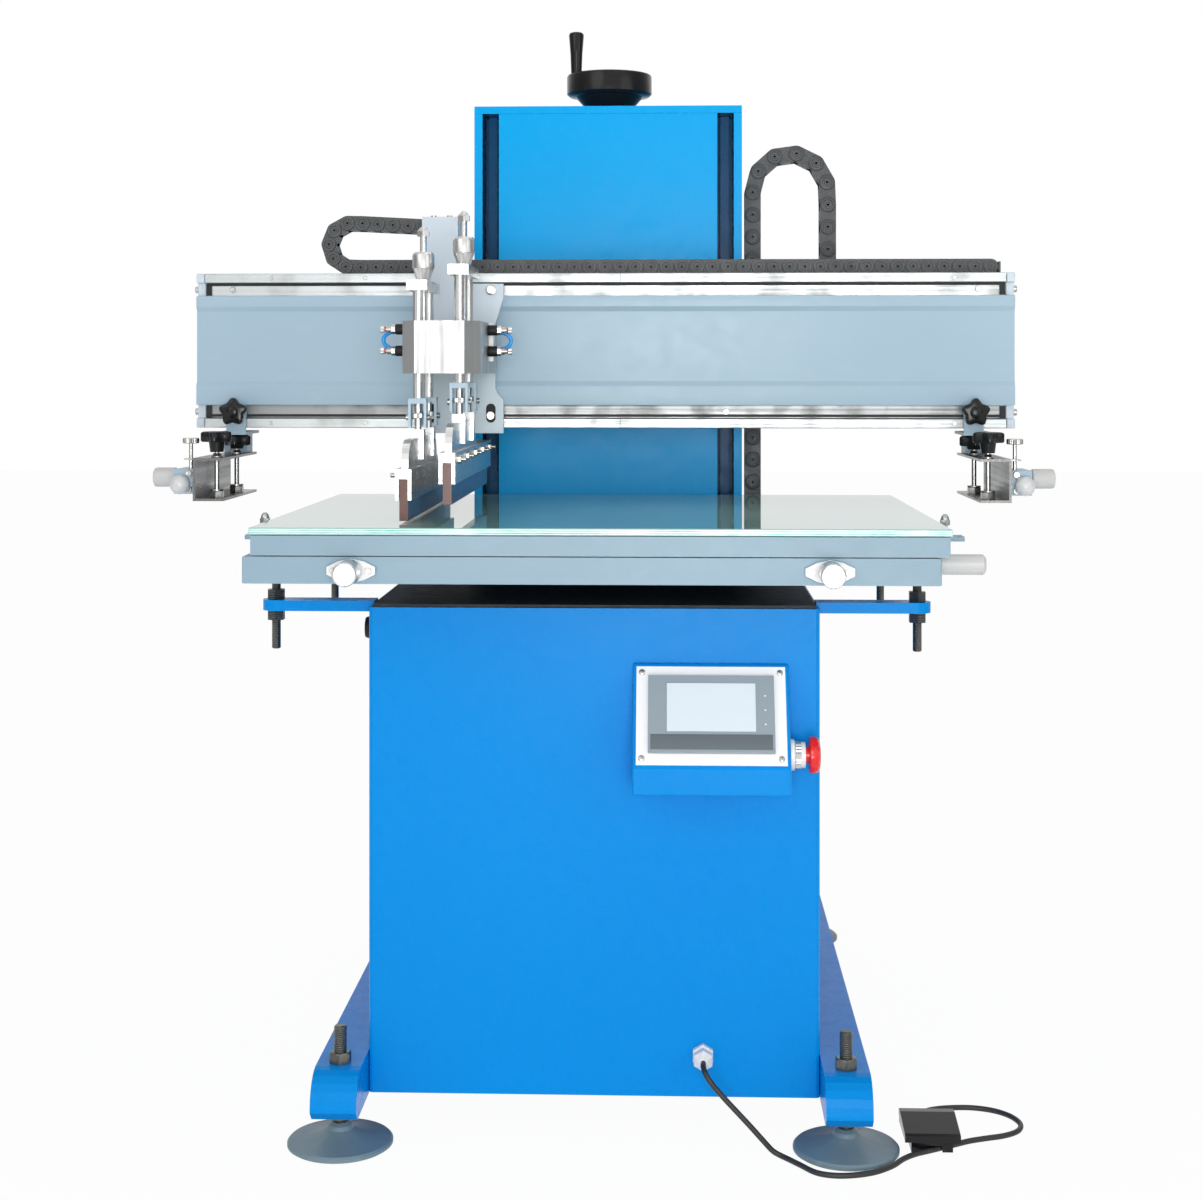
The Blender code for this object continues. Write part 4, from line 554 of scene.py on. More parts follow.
def turn_rings(bm, rings, place, direction, sides):
    """Closed body of rings (height, radius, shape), added to a mesh."""
    matrix = along(place, direction)
    loops = []
    for ring in rings:
        shape = ring[2] if len(ring) > 2 else "round"
        loop = []
        for i in range(sides):
            angle = 2 * math.pi * i / sides
            size = reach(shape, ring[1], angle)
            point = Vector((size * math.cos(angle), size * math.sin(angle), ring[0]))
            loop.append(bm.verts.new(matrix @ point))
        loops.append(loop)
    close_rings(bm, loops)


def add_object(name, data):
    made = bpy.data.objects.new(name, data)
    bpy.context.scene.collection.objects.link(made)
    return made


def add_box(bm, low, high, edge=0.0, matrix=None):
    """Box between two corners, turned by a matrix and with its edges rounded if asked."""
    made = bmesh.ops.create_cube(bm, size=1.0)["verts"]
    size = Vector(high) - Vector(low)
    centre = (Vector(high) + Vector(low)) / 2
    bmesh.ops.scale(bm, vec=size, verts=made)
    bmesh.ops.translate(bm, vec=centre, verts=made)
    if matrix is not None:
        bmesh.ops.transform(bm, matrix=matrix, verts=made)
    if edge > 0.0:
        edges = {e for v in made for e in v.link_edges}
        bmesh.ops.bevel(bm, geom=list(edges), offset=edge, segments=2, affect="EDGES", profile=0.6)


def add_tube(bm, points, radius, sides=12):
    """Tube along points, with its ends closed and no twist."""
    rings = []
    count = len(points)
    side = None
    for i in range(count):
        ahead = points[min(i + 1, count - 1)] - points[max(i - 1, 0)]
        ahead.normalize()
        if side is None:
            side = ahead.orthogonal().normalized()
        side = (side - ahead * side.dot(ahead)).normalized()
        up = ahead.cross(side)
        ring = []
        for k in range(sides):
            angle = 2 * math.pi * k / sides
            ring.append(bm.verts.new(points[i] + (side * math.cos(angle) + up * math.sin(angle)) * radius))
        rings.append(ring)
    close_rings(bm, rings)


def place_piece(name, bm, key, body, stands_for=(), angle=35):
    """Mesh to a named piece with its finish, riding on a body."""
    mesh = bpy.data.meshes.new(name)
    bm.to_mesh(mesh)
    bm.free()
    mesh.shade_smooth()
    mesh.set_sharp_from_angle(angle=math.radians(angle))
    piece = add_object(name, mesh)
    piece.data.materials.append(finish(key))
    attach(piece, body)
    for node in stands_for:
        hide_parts(node)
    return piece


def socket_screw(bm, place, direction, radius, height=None):
    """Socket head screw with its hexagon recess."""
    height = radius * 0.9 if height is None else height
    turn_rings(bm, [(0.0, radius * 0.96), (height * 0.85, radius), (height, radius * 0.9),
                    (height, radius * 0.5, "hex"), (height * 0.45, radius * 0.5, "hex")],
               place, direction, 24)


def hex_nut(bm, place, direction, flats, height):
    turn_rings(bm, [(0.0, flats * 0.96), (0.0, flats, "hex"), (height * 0.88, flats, "hex"),
                    (height, flats * 0.95)], place, direction, 24)


def washer(bm, place, direction, radius, height=0.0012):
    turn_rings(bm, [(0.0, radius), (height * 0.8, radius), (height, radius * 0.95)], place, direction, 28)


def walk(start, heading, legs):
    """Point and heading by distance along lines and arcs in the XZ plane."""
    parts = []
    x, z = start
    travelled = 0.0
    for kind, size, turn in legs:
        parts.append((travelled, kind, size, turn, x, z, heading))
        if kind == "line":
            x += size * math.cos(heading)
            z += size * math.sin(heading)
            travelled += size
            continue
        side = 1 if turn > 0 else -1
        centre = (x - side * size * math.sin(heading), z + side * size * math.cos(heading))
        heading += turn
        x = centre[0] + side * size * math.sin(heading)
        z = centre[1] - side * size * math.cos(heading)
        travelled += abs(size * turn)

    def at(distance):
        begin, kind, size, turn, px, pz, face = [p for p in parts if p[0] <= distance + 1e-9][-1]
        run = distance - begin
        if kind == "line":
            return px + run * math.cos(face), pz + run * math.sin(face)
        side = 1 if turn > 0 else -1
        cx = px - side * size * math.sin(face)
        cz = pz + side * size * math.cos(face)
        face += side * run / size
        return cx + side * size * math.sin(face), cz - side * size * math.cos(face)

    return at, travelled


def stadium(length, radius, steps=8):
    points = []
    for i in range(steps + 1):
        angle = -math.pi / 2 + math.pi * i / steps
        points.append((length + radius * math.cos(angle), radius * math.sin(angle)))
    for i in range(steps + 1):
        angle = math.pi / 2 + math.pi * i / steps
        points.append((radius * math.cos(angle), radius * math.sin(angle)))
    return points


def chain_link(bm, start, end, height, width, middle_y):
    """One link: two round-ended cheeks, a grooved disc over each joint, and the two bars that close it."""
    first = Vector((start[0], 0.0, start[1]))
    run = Vector((end[0], 0.0, end[1])) - first
    pitch = run.length
    run.normalize()
    across = Vector((-run.z, 0.0, run.x))
    outline = stadium(pitch, height / 2)
    for side in (-1, 1):
        outside = middle_y + side * (width / 2 - CHEEK_INSET - 0.0004)
        inside = outside - side * CHEEK
        rings = []
        for y in (inside, outside):
            rings.append([bm.verts.new(first + run * u + across * v + Vector((0, y, 0))) for u, v in outline])
        close_rings(bm, rings)
        disc = height / 2 - 0.0001
        place = first + Vector((0, middle_y + side * (width / 2 - CHEEK), 0))
        face = CHEEK - 0.0001
        groove = CHEEK - 0.0009
        turn_rings(bm, [(0.0, disc), (CHEEK - 0.0006, disc), (face, disc * 0.93), (face, disc * 0.62),
                        (groove, disc * 0.56), (groove, disc * 0.34), (face, disc * 0.30),
                        (face, disc * 0.15), (CHEEK - 0.0018, disc * 0.13)], place, (0, side, 0), 20)
    matrix = Matrix(((run.x, 0, across.x, first.x), (0, 1, 0, middle_y), (run.z, 0, across.z, first.z),
                     (0, 0, 0, 1)))
    half = width / 2 - CHEEK
    for level in (-1, 1):
        z = level * (height / 2 - 0.0012)
        add_box(bm, (pitch * 0.28, -half, z - 0.0010), (pitch * 0.72, half, z + 0.0010), 0.0, matrix)


def drag_chain(at, total, pitch, height, near, far):
    """A whole chain of links along a path, from near to far in Y."""
    bm = bmesh.new()
    inset = height / 2
    length = total - 2 * inset
    count = int(round(length / pitch))
    joints = [at(inset + length * i / count) for i in range(count + 1)]
    for i in range(count):
        chain_link(bm, joints[i], joints[i + 1], height, far - near, (near + far) / 2)
    return bm


class MACHINE_OT_stage(bpy.types.Operator):
    """Camera at the photo's place, pale floor and even light"""
    bl_idname = "machine.stage"
    bl_label = "Stage"

    def execute(self, context):
        stage = settings().stage
        lens = bpy.data.cameras.new("photo_camera")
        lens.sensor_width = SENSOR_WIDTH
        lens.lens = stage.lens_px / PHOTO_WIDTH * SENSOR_WIDTH
        lens.shift_y = stage.rise
        lens.clip_end = 100.0
        camera = add_object("photo_camera", lens)
        camera.location = (stage.camera_x, CABINET_LOW.y - stage.camera_back, stage.camera_z)
        camera.rotation_euler = (math.pi / 2, 0.0, stage.yaw)
        context.scene.camera = camera
        context.scene.view_settings.view_transform = "Standard"
        self.lay_floor()
        self.light_world(stage.world_level)
        self.add_light("key_light", (-2.2, -3.2, 2.9), (0.0, 0.0, 0.75), 2.6, stage.key_power)
        self.add_light("fill_light", (2.8, -2.2, 1.9), (0.0, 0.0, 0.6), 2.2, stage.fill_power)
        self.add_light("low_light", (0.2, -3.4, 0.75), (0.0, 0.0, 0.72), 1.4, stage.low_power)
        self.add_light("top_light", (0.3, 0.6, 3.6), (0.0, 0.0, 0.7), 2.4, stage.fill_power * 0.5)
        return {"FINISHED"}

    def seen_rays(self, tree):
        """A light path's outputs, and a mask of the rays from the camera or off a shiny face."""
        rays = tree.add("ShaderNodeLightPath").outputs
        return rays, tree.math("MAXIMUM", rays["Is Camera Ray"], rays["Is Glossy Ray"])

    def lay_floor(self):
        """Pale floor, white to the camera and in what shiny faces show."""
        bm = bmesh.new()
        bmesh.ops.create_grid(bm, x_segments=1, y_segments=1, size=14.0)
        mesh = bpy.data.meshes.new("floor")
        bm.to_mesh(mesh)
        bm.free()
        floor = add_object("floor", mesh)
        floor.location.z = -SEAT
        material, tree, shader = material_base("pale floor", 0.9, 0.0)
        shader.inputs["Base Color"].default_value = (0.95, 0.95, 0.95, 1.0)
        rays, seen = self.seen_rays(tree)
        white = tree.add("ShaderNodeEmission")
        blend = tree.add("ShaderNodeMixShader")
        tree.feed(tree.math("MULTIPLY", seen, 0.96), blend.inputs["Fac"])
        tree.feed(shader.outputs["BSDF"], blend.inputs[1])
        tree.feed(white.outputs["Emission"], blend.inputs[2])
        tree.feed(blend.outputs["Shader"], tree.nodes["Material Output"].inputs["Surface"])
        mesh.materials.append(material)

    def light_world(self, level):
        """White world: plain light on surfaces, with dimmer sides in what metal mirrors."""
        world = bpy.data.worlds.new("studio")
        bpy.context.scene.world = world
        world.use_nodes = True
        tree = Tree(world.node_tree)
        sky = tree.nodes["Background"]
        sky.inputs["Color"].default_value = (1.0, 1.0, 1.0, 1.0)
        rays, seen = self.seen_rays(tree)
        seen = tree.math("MAXIMUM", seen, rays["Is Transmission Ray"])
        strength = tree.ranged(seen, level, 1.0, 0.0, 1.0)
        ray = tree.place("Generated")
        aside = tree.math("ABSOLUTE", tree.axes(ray)["X"])
        walls = tree.ranged(aside, 1.0, 0.30, 0.55, 0.95)
        mirrored = tree.ranged(rays["Is Glossy Ray"], 1.0, walls, 0.0, 1.0)
        tree.feed(tree.math("MULTIPLY", strength, mirrored), sky.inputs["Strength"])

    def add_light(self, name, place, target, size, power):
        data = bpy.data.lights.new(name, "AREA")
        data.shape = "DISK"
        data.size = size
        data.energy = power
        lamp = add_object(name, data)
        lamp.location = place
        lamp.rotation_euler = (Vector(target) - Vector(place)).to_track_quat("-Z", "Y").to_euler()


# Middle line of the cord, with Y from the cabinet's front
CORD_ROUTE = [
    (0.121, -0.0287, 0.090), (0.121, -0.040, 0.0895), (0.1235, -0.049, 0.085), (0.131, -0.053, 0.075),
    (0.143, -0.055, 0.062), (0.157, -0.0575, 0.048), (0.171, -0.060, 0.034), (0.184, -0.061, 0.020),
    (0.1945, -0.060, 0.0085), (0.203, -0.0615, 0.0040), (0.211, -0.069, 0.0031), (0.222, -0.083, 0.0031),
    (0.238, -0.103, 0.0031), (0.257, -0.110, 0.0031), (0.279, -0.108, 0.0031), (0.301, -0.099, 0.0031),
    (0.320, -0.083, 0.0031), (0.334, -0.064, 0.0031), (0.3485, -0.0505, 0.0031), (0.364, -0.0412, 0.0031),
    (0.380, -0.0317, 0.0031), (0.396, -0.0221, 0.0031), (0.412, -0.0125, 0.0031), (0.430, -0.005, 0.0031),
    (0.453, 0.004, 0.0031), (0.470, 0.018, 0.0031), (0.476, 0.038, 0.0031), (0.469, 0.060, 0.0031),
    (0.453, 0.076, 0.0031), (0.431, 0.084, 0.0031), (0.409, 0.083, 0.0035), (0.389, 0.075, 0.0050),
    (0.375, 0.060, 0.0080), (0.369, 0.042, 0.0100), (0.368, 0.0265, 0.0100), (0.368, 0.0153, 0.0100),
]


def smooth_route(points, steps):
    """Catmull-Rom curve through the route's points."""
    knots = [Vector(p) for p in points]
    knots = [2 * knots[0] - knots[1]] + knots + [2 * knots[-1] - knots[-2]]
    result = []
    for i in range(1, len(knots) - 2):
        a, b, c, d = knots[i - 1:i + 3]
        for step in range(steps):
            t = step / steps
            result.append(0.5 * (2 * b + (c - a) * t + (2 * a - 5 * b + 4 * c - d) * t ** 2
                                 + (3 * b - a - 3 * c + d) * t ** 3))
    result.append(knots[-2])
    return result


class MACHINE_OT_pedal_cord(bpy.types.Operator):
    """The pedal's cord, from the gland along the floor into the pedal's heel"""
    bl_idname = "machine.pedal_cord"
    bl_label = "Pedal cord"

    def execute(self, context):
        front = CABINET_LOW.y
        points = smooth_route([(x, front + y, z) for x, y, z in CORD_ROUTE], 5)
        radius = settings().details.cord_radius
        curve = bpy.data.curves.new("cord_line", "CURVE")
        curve.dimensions = "3D"
        curve.bevel_depth = radius
        curve.bevel_resolution = 4
        curve.use_fill_caps = True
        line = curve.splines.new("POLY")
        line.points.add(len(points) - 1)
        for target, point in zip(line.points, points):
            target.co = (*point, 1.0)
        line.use_smooth = True
        curve.materials.append(finish("cord"))
        cord = add_object("cord_line", curve)
        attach(cord, "base")
        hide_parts("pedal_cord")
        return {"FINISHED"}


class MACHINE_OT_frame_finishes(bpy.types.Operator):
    """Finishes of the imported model's own pieces"""
    bl_idname = "machine.frame_finishes"
    bl_label = "Frame finishes"

    nodes_by_finish = {
        "cabinet": ("cabinet", "leg_left", "leg_right", "console"),
        "column": ("column", "column_cap"),
        "table": ("table_base", "table_plate"),
        "grey": ("beam_cover", "clamp_hanger_left", "clamp_hanger_right", "clamp_adjuster_left",
                 "clamp_adjuster_right"),
        "pale": ("beam_end_left", "beam_end_right", "carriage_plate"),
        "slate": ("display",),
        "panel": ("console_panel",),
        "ivory": ("table_side_knob",),
        "strip": ("beam",),
        "block": ("cylinder_block",),
        "aluminium": ("squeegee_holder", "flood_holder"),
        "turned": ("table_knob_left", "table_knob_right"),
        "steel": ("saddle",),
        "stainless": ("clamp_channel_left", "clamp_channel_right"),
        "blade": ("squeegee_blade", "flood_blade"),
        "black": ("handwheel", "pedal_base", "pedal_pad", "clamp_lock_knob_left",
                  "clamp_lock_knob_right", "clamp_screw_front_left", "clamp_screw_front_right",
                  "clamp_screw_rear_left", "clamp_screw_rear_right"),
        # cabinet_top_sheet is matt black as painted shade from the table above it
        "dark": ("cabinet_top_sheet", "side_button", "air_fittings_left", "air_fittings_right"),
        "chain": ("beam_chain", "lift_chain"),
        "white": ("stop_collar", "gland"),
        "red": ("stop_button",),
        "pad": ("foot_front_left", "foot_front_right", "foot_rear_left", "foot_rear_right"),
        "cord": ("pedal_cord",),
    }

    def execute(self, context):
        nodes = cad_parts
        for key, names in self.nodes_by_finish.items():
            for name in names:
                self.give(nodes[name], finish(key))
        for name in nodes:
            if name.startswith("table_stud"):
                self.give(nodes[name], finish("thread"))
        self.give(nodes["table_glass"], glass_material())
        for word in ("squeegee", "flood"):
            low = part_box(word + "_lifter")[0].z
            self.give(nodes[word + "_lifter"],
                      lifter_material(word + " rods and forks", low - 0.001, low + FORK_HEIGHT))
        return {"FINISHED"}

    def give(self, obj, material):
        obj.data.materials.clear()
        obj.data.materials.append(material)


class MACHINE_OT_drag_chains(bpy.types.Operator):
    """Links of both drag chains, and the bracket at the end of the beam's chain"""
    bl_idname = "machine.drag_chains"
    bl_label = "Drag chains"

    def execute(self, context):
        details = settings().details
        low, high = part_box("beam_chain")
        height = BEAM_CHAIN_HEIGHT
        bend_x = low.x + height / 2 + BEAM_CHAIN_BEND
        at, total = walk((high.x, low.z + height / 2), math.pi,
                         [("line", high.x - bend_x, 0.0),
                          ("arc", BEAM_CHAIN_BEND, -math.pi - BEAM_CHAIN_DROOP),
                          ("line", BEAM_CHAIN_UPPER, 0.0)])
        bm = drag_chain(at, total, details.beam_link, height, low.y, high.y)
        place_piece("beam_chain_links", bm, "chain", "head", ("beam_chain",))
        low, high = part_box("lift_chain")
        height = LIFT_CHAIN_HEIGHT
        radius = (high.x - low.x - height) / 2
        top = high.z - height / 2 - radius
        at, total = walk((low.x + height / 2, low.z), math.pi / 2,
                         [("line", top - low.z, 0.0), ("arc", radius, -math.pi),
                          ("line", top - LIFT_CHAIN_END, 0.0)])
        bm = drag_chain(at, total, details.lift_link, height, low.y, high.y)
        place_piece("lift_chain_links", bm, "chain", "head", ("lift_chain",))
        self.end_brackets()
        return {"FINISHED"}

    def end_brackets(self):
        low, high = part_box("beam_chain")
        bm = bmesh.new()
        right = min(high.x + 0.008, BEAM_HIGH.x - 0.001)
        add_box(bm, (high.x + SEAT, low.y + 0.002, BEAM_HIGH.z + SEAT),
                (right, high.y - 0.002, BEAM_HIGH.z + 0.016), 0.0008)
        place_piece("chain_end_bracket", bm, "chain", "head")


class MACHINE_OT_handwheel(bpy.types.Operator):
    """Drum-rimmed handwheel with its tapered turning grip"""
    bl_idname = "machine.handwheel"
    bl_label = "Handwheel"

    def execute(self, context):
        low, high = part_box("handwheel")
        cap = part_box("column_cap")[1].z
        middle = (low + high) / 2
        radius = (high.y - low.y) / 2
        top = cap + RIM_TOP
        under = top - RIM_HEIGHT
        bm = bmesh.new()
        turn_rings(bm, [(cap + 0.0010, 0.030), (cap + 0.0060, 0.034), (under - 0.0010, radius - 0.012),
                        (under, radius - 0.0035), (under + 0.0030, radius), (top - 0.0035, radius),
                        (top - 0.0010, radius - 0.0012), (top, radius - 0.0035), (top, radius - 0.0130),
                        (top - 0.0020, radius - 0.0155), (top - 0.0120, radius - 0.0190),
                        (top - 0.0140, 0.0180), (top - 0.0020, 0.0150), (top, 0.0125)],
                   (middle.x, middle.y, 0.0), UP, 96)
        turn_rings(bm, [(top - 0.0010, 0.0062), (top + 0.0020, 0.0062), (top + 0.0026, 0.0074),
                        (top + (high.z - top) * 0.5, 0.0084), (high.z - 0.0040, GRIP_WIDE),
                        (high.z - 0.0012, 0.0092), (high.z, 0.0070)],
                   (low.x + GRIP_INSET, middle.y, 0.0), UP, 48)
        place_piece("handwheel_rim", bm, "black", "handwheel", ("handwheel",))
        return {"FINISHED"}


class MACHINE_OT_levelling_feet(bpy.types.Operator):
    """Ribbed pads, threaded studs and nuts of the four feet"""
    bl_idname = "machine.levelling_feet"
    bl_label = "Levelling feet"

    def execute(self, context):
        stud = FOOT_STUD
        for row in ("front", "rear"):
            for word in ("left", "right"):
                name = "foot_%s_%s" % (row, word)
                low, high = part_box(name)
                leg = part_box("leg_" + word)[1].z
                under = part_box("leg_" + word)[0].z
                middle = (low + high) / 2
                place = (middle.x, middle.y, 0.0)
                radius = (high.x - low.x) / 2
                bm = bmesh.new()
                turn_rings(bm, [(0.0, radius - 0.003), (0.002, radius), (0.005, radius),
                                (0.007, radius - 0.002), (0.0080, radius * 0.82, "ribs"),
                                (0.0115, radius * 0.5, "ribs"), (0.0150, stud + 0.013, "ribs"),
                                (0.0185, stud + 0.008), (0.0225, stud + 0.006), (0.0255, stud + 0.002)],
                           place, UP, 96)
                place_piece(name + "_pad", bm, "pad", "base", (name,), 25)
                bm = bmesh.new()
                turn_rings(bm, [(0.024, stud), (high.z - 0.0015, stud), (high.z, stud - 0.0015)],
                           place, UP, 32)
                place_piece(name + "_stud", bm, "thread", "base")
                bm = bmesh.new()
                for level in (leg + SEAT, under - FOOT_NUT_HEIGHT - SEAT):
                    hex_nut(bm, (place[0], place[1], level), UP, FOOT_NUT_FLATS, FOOT_NUT_HEIGHT)
                place_piece(name + "_nuts", bm, "oxide", "base")
        return {"FINISHED"}


class MACHINE_OT_beam_details(bpy.types.Operator):
    """Painted shade lines, strip joints, screws and folded cover of the beam"""
    bl_idname = "machine.beam_details"
    bl_label = "Beam details"

    def execute(self, context):
        front = BEAM_LOW.y
        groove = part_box("beam_cover")[1].y
        bm = bmesh.new()
        for level in (BEAM_LOW.z + 0.006, BEAM_HIGH.z - 0.006):
            for x in (-0.42, -0.30, 0.30, 0.44):
                socket_screw(bm, (x, front - SEAT, level), FORWARD, 0.0026, 0.0014)
        radius = settings().details.screw_radius
        rows = (COVER_HIGH.z + COVER_SCREW_OFF, COVER_LOW.z - COVER_SCREW_OFF)
        for x in (-0.47, 0.155, 0.47):
            for z in rows:
                socket_screw(bm, (x, groove - 0.0005, z), FORWARD, radius * 0.8)
        place_piece("beam_screws", bm, "screw", "head")
        # Dark lines painted as shade where the strips meet the groove, and dark squares at the groove's ends
        bm = bmesh.new()
        for z in (COVER_HIGH.z + SHADE_LINE_ABOVE, COVER_LOW.z - SHADE_LINE_BELOW):
            add_box(bm, (BEAM_LOW.x + 0.001, groove - 0.0012, z - SHADE_LINE_HALF),
                    (BEAM_HIGH.x - 0.001, groove - 0.0002, z + SHADE_LINE_HALF))
        for x in (BEAM_LOW.x + END_SQUARE_INSET, BEAM_HIGH.x - END_SQUARE_INSET):
            for z in rows:
                add_box(bm, (x - 0.0034, groove - 0.0016, z - 0.0075),
                        (x + 0.0034, groove - 0.0002, z + 0.0075))
        place_piece("beam_guide_lines", bm, "dark", "head")
        bm = bmesh.new()
        for low in (BEAM_LOW.z, BEAM_HIGH.z - STRIP_HEIGHT):
            add_box(bm, (STRIP_JOINT_X - 0.0003, front - 0.0002, low + 0.0002),
                    (STRIP_JOINT_X + 0.0003, front + 0.0004, low + STRIP_HEIGHT - 0.0002))
        place_piece("strip_joints", bm, "dark", "head")
        self.cover()
        self.end_screws(radius)
        return {"FINISHED"}

    def cover(self):
        """Folded sheet cover whose wide middle is sunk between two creased flanges."""
        front, back = COVER_LOW.y, COVER_HIGH.y
        sunk = front + COVER_SINK
        outline = [(back, COVER_LOW.z), (back, COVER_HIGH.z), (front, COVER_HIGH.z),
                   (front, COVER_CREASE_HIGH + COVER_CREASE), (sunk, COVER_CREASE_HIGH),
                   (sunk, COVER_CREASE_LOW), (front, COVER_CREASE_LOW - COVER_CREASE), (front, COVER_LOW.z)]
        bm = bmesh.new()
        ends = [[bm.verts.new((x, y, z)) for y, z in outline] for x in (COVER_LOW.x, COVER_HIGH.x)]
        close_rings(bm, ends)
        bmesh.ops.bevel(bm, geom=list(bm.edges), offset=0.0008, segments=2, affect="EDGES", profile=0.6)
        place_piece("beam_cover_sheet", bm, "grey", "head", ("beam_cover",))

    def end_screws(self, radius):
        """Screws in the beam's end plates."""
        bm = bmesh.new()
        for side, word in ((-1, "left"), (1, "right")):
            low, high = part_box("beam_end_" + word)
            x = low.x if side < 0 else high.x
            for y in (low.y + 0.014, high.y - 0.014):
                for z in (low.z + 0.020, high.z - 0.020):
                    socket_screw(bm, (x + side * SEAT, y, z), (side, 0, 0), radius)
        place_piece("beam_end_screws", bm, "screw", "head")


# Piece, finish, slot, sides, and rings by height and share of the fitting's radius
FITTING_PARTS = (
    ("fitting_bodies_", "dark", "black_plastic", 48,
     ((0.0, 0.92), (0.001, 1.0, "knurl"), (0.0105, 1.0, "knurl"), (0.0115, 0.9))),
    ("fitting_collars_", "screw", "stainless", 24,
     ((0.0115, 0.8, "hex"), (0.016, 0.8, "hex"), (0.016, 0.66), (0.0205, 0.66), (0.0205, 0.45),
      (0.0225, 0.45))),
    ("fitting_rings_", "red", "red_plastic", 20, ((0.0225, 0.5), (0.0238, 0.5))),
    ("fitting_caps_", "turned", "aluminium", 48,
     ((0.0238, 0.5), (0.0245, 0.62, "knurl"), (0.0285, 0.62, "knurl"), (0.029, 0.5))),
)


class MACHINE_OT_carriage_details(bpy.types.Operator):
    """Screws, slot, sensor strip, air fittings and hoses of the carriage"""
    bl_idname = "machine.carriage_details"
    bl_label = "Carriage details"

    def execute(self, context):
        front = PLATE_LOW.y
        radius = settings().details.screw_radius
        bm = bmesh.new()
        washer(bm, (-0.1395, front - 0.0001, 0.9465), FORWARD, radius * 1.5, 0.0008)
        for x, z in ((-0.1395, 0.9465), (-0.1395, 0.789), (-0.2145, 0.789)):
            socket_screw(bm, (x, front - 0.0010, z), FORWARD, radius * 1.15)
        place_piece("carriage_screws", bm, "screw", "carriage")
        bm = bmesh.new()
        turn_slot = stadium(0.012, 0.0060)
        for x, z in ((-0.1395, 0.786), (-0.2145, 0.786)):
            ring = [bm.verts.new((x + v, front - 0.0002, z + u)) for u, v in turn_slot]
            bm.faces.new(ring)
            made = bmesh.ops.extrude_face_region(bm, geom=list(bm.faces)[-1:])
            moved = [v for v in made["geom"] if isinstance(v, bmesh.types.BMVert)]
            bmesh.ops.translate(bm, vec=(0.0, 0.0001, 0.0), verts=moved)
        bmesh.ops.recalc_face_normals(bm, faces=bm.faces)
        place_piece("carriage_slots", bm, "dark", "carriage")
        bm = bmesh.new()
        y = BLOCK_LOW.y + 0.118
        add_box(bm, (BLOCK_HIGH.x + SEAT, y, BLOCK_LOW.z + 0.014),
                (BLOCK_HIGH.x + 0.006, y + 0.016, BLOCK_HIGH.z), 0.0008)
        place_piece("sensor_strip", bm, "white", "carriage")
        bm = bmesh.new()
        for x in (-0.214, -0.194):
            socket_screw(bm, (x, PLATE_LOW.y + 0.024, PLATE_HIGH.z + SEAT), UP, 0.0035)
        place_piece("post_screws", bm, "screw", "carriage")
        for side, word in ((-1, "left"), (1, "right")):
            self.fittings(side, word)
        return {"FINISHED"}

    def fittings(self, side, word):
        """Two air fittings on one side of the block, and the hose from one to the other."""
        low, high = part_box("air_fittings_" + word)
        y = (low.y + high.y) / 2
        root = (BLOCK_LOW.x if side < 0 else BLOCK_HIGH.x) + side * 0.0003
        size = (high.y - low.y) / 2
        heights = (low.z + size, high.z - size)
        for name, key, slot, sides, shares in FITTING_PARTS:
            bm = bmesh.new()
            rings = [(ring[0], size * ring[1], *ring[2:]) for ring in shares]
            for z in heights:
                turn_rings(bm, rings, (root, y, z), (side, 0, 0), sides)
            stands_for = ("air_fittings_" + word,) if name == "fitting_bodies_" else ()
            place_piece(name + word, bm, key, "carriage", stands_for)
        bm = bmesh.new()
        middle = (heights[0] + heights[1]) / 2
        spread = (heights[1] - heights[0]) / 2
        points = []
        for i in range(17):
            angle = math.pi * i / 16
            bulge = math.sin(angle) ** 0.8
            points.append(Vector((root + side * (0.008 + 0.019 * bulge), y + size * 0.85 + 0.0045 * bulge,
                                  middle + (spread - 0.002) * math.cos(angle))))
        points.insert(0, Vector((root + side * 0.004, y + size * 0.5, heights[1] - 0.001)))
        points.append(Vector((root + side * 0.004, y + size * 0.5, heights[0] + 0.001)))
        add_tube(bm, points, settings().details.hose_radius)
        place_piece("air_hose_" + word, bm, "hose", "carriage")


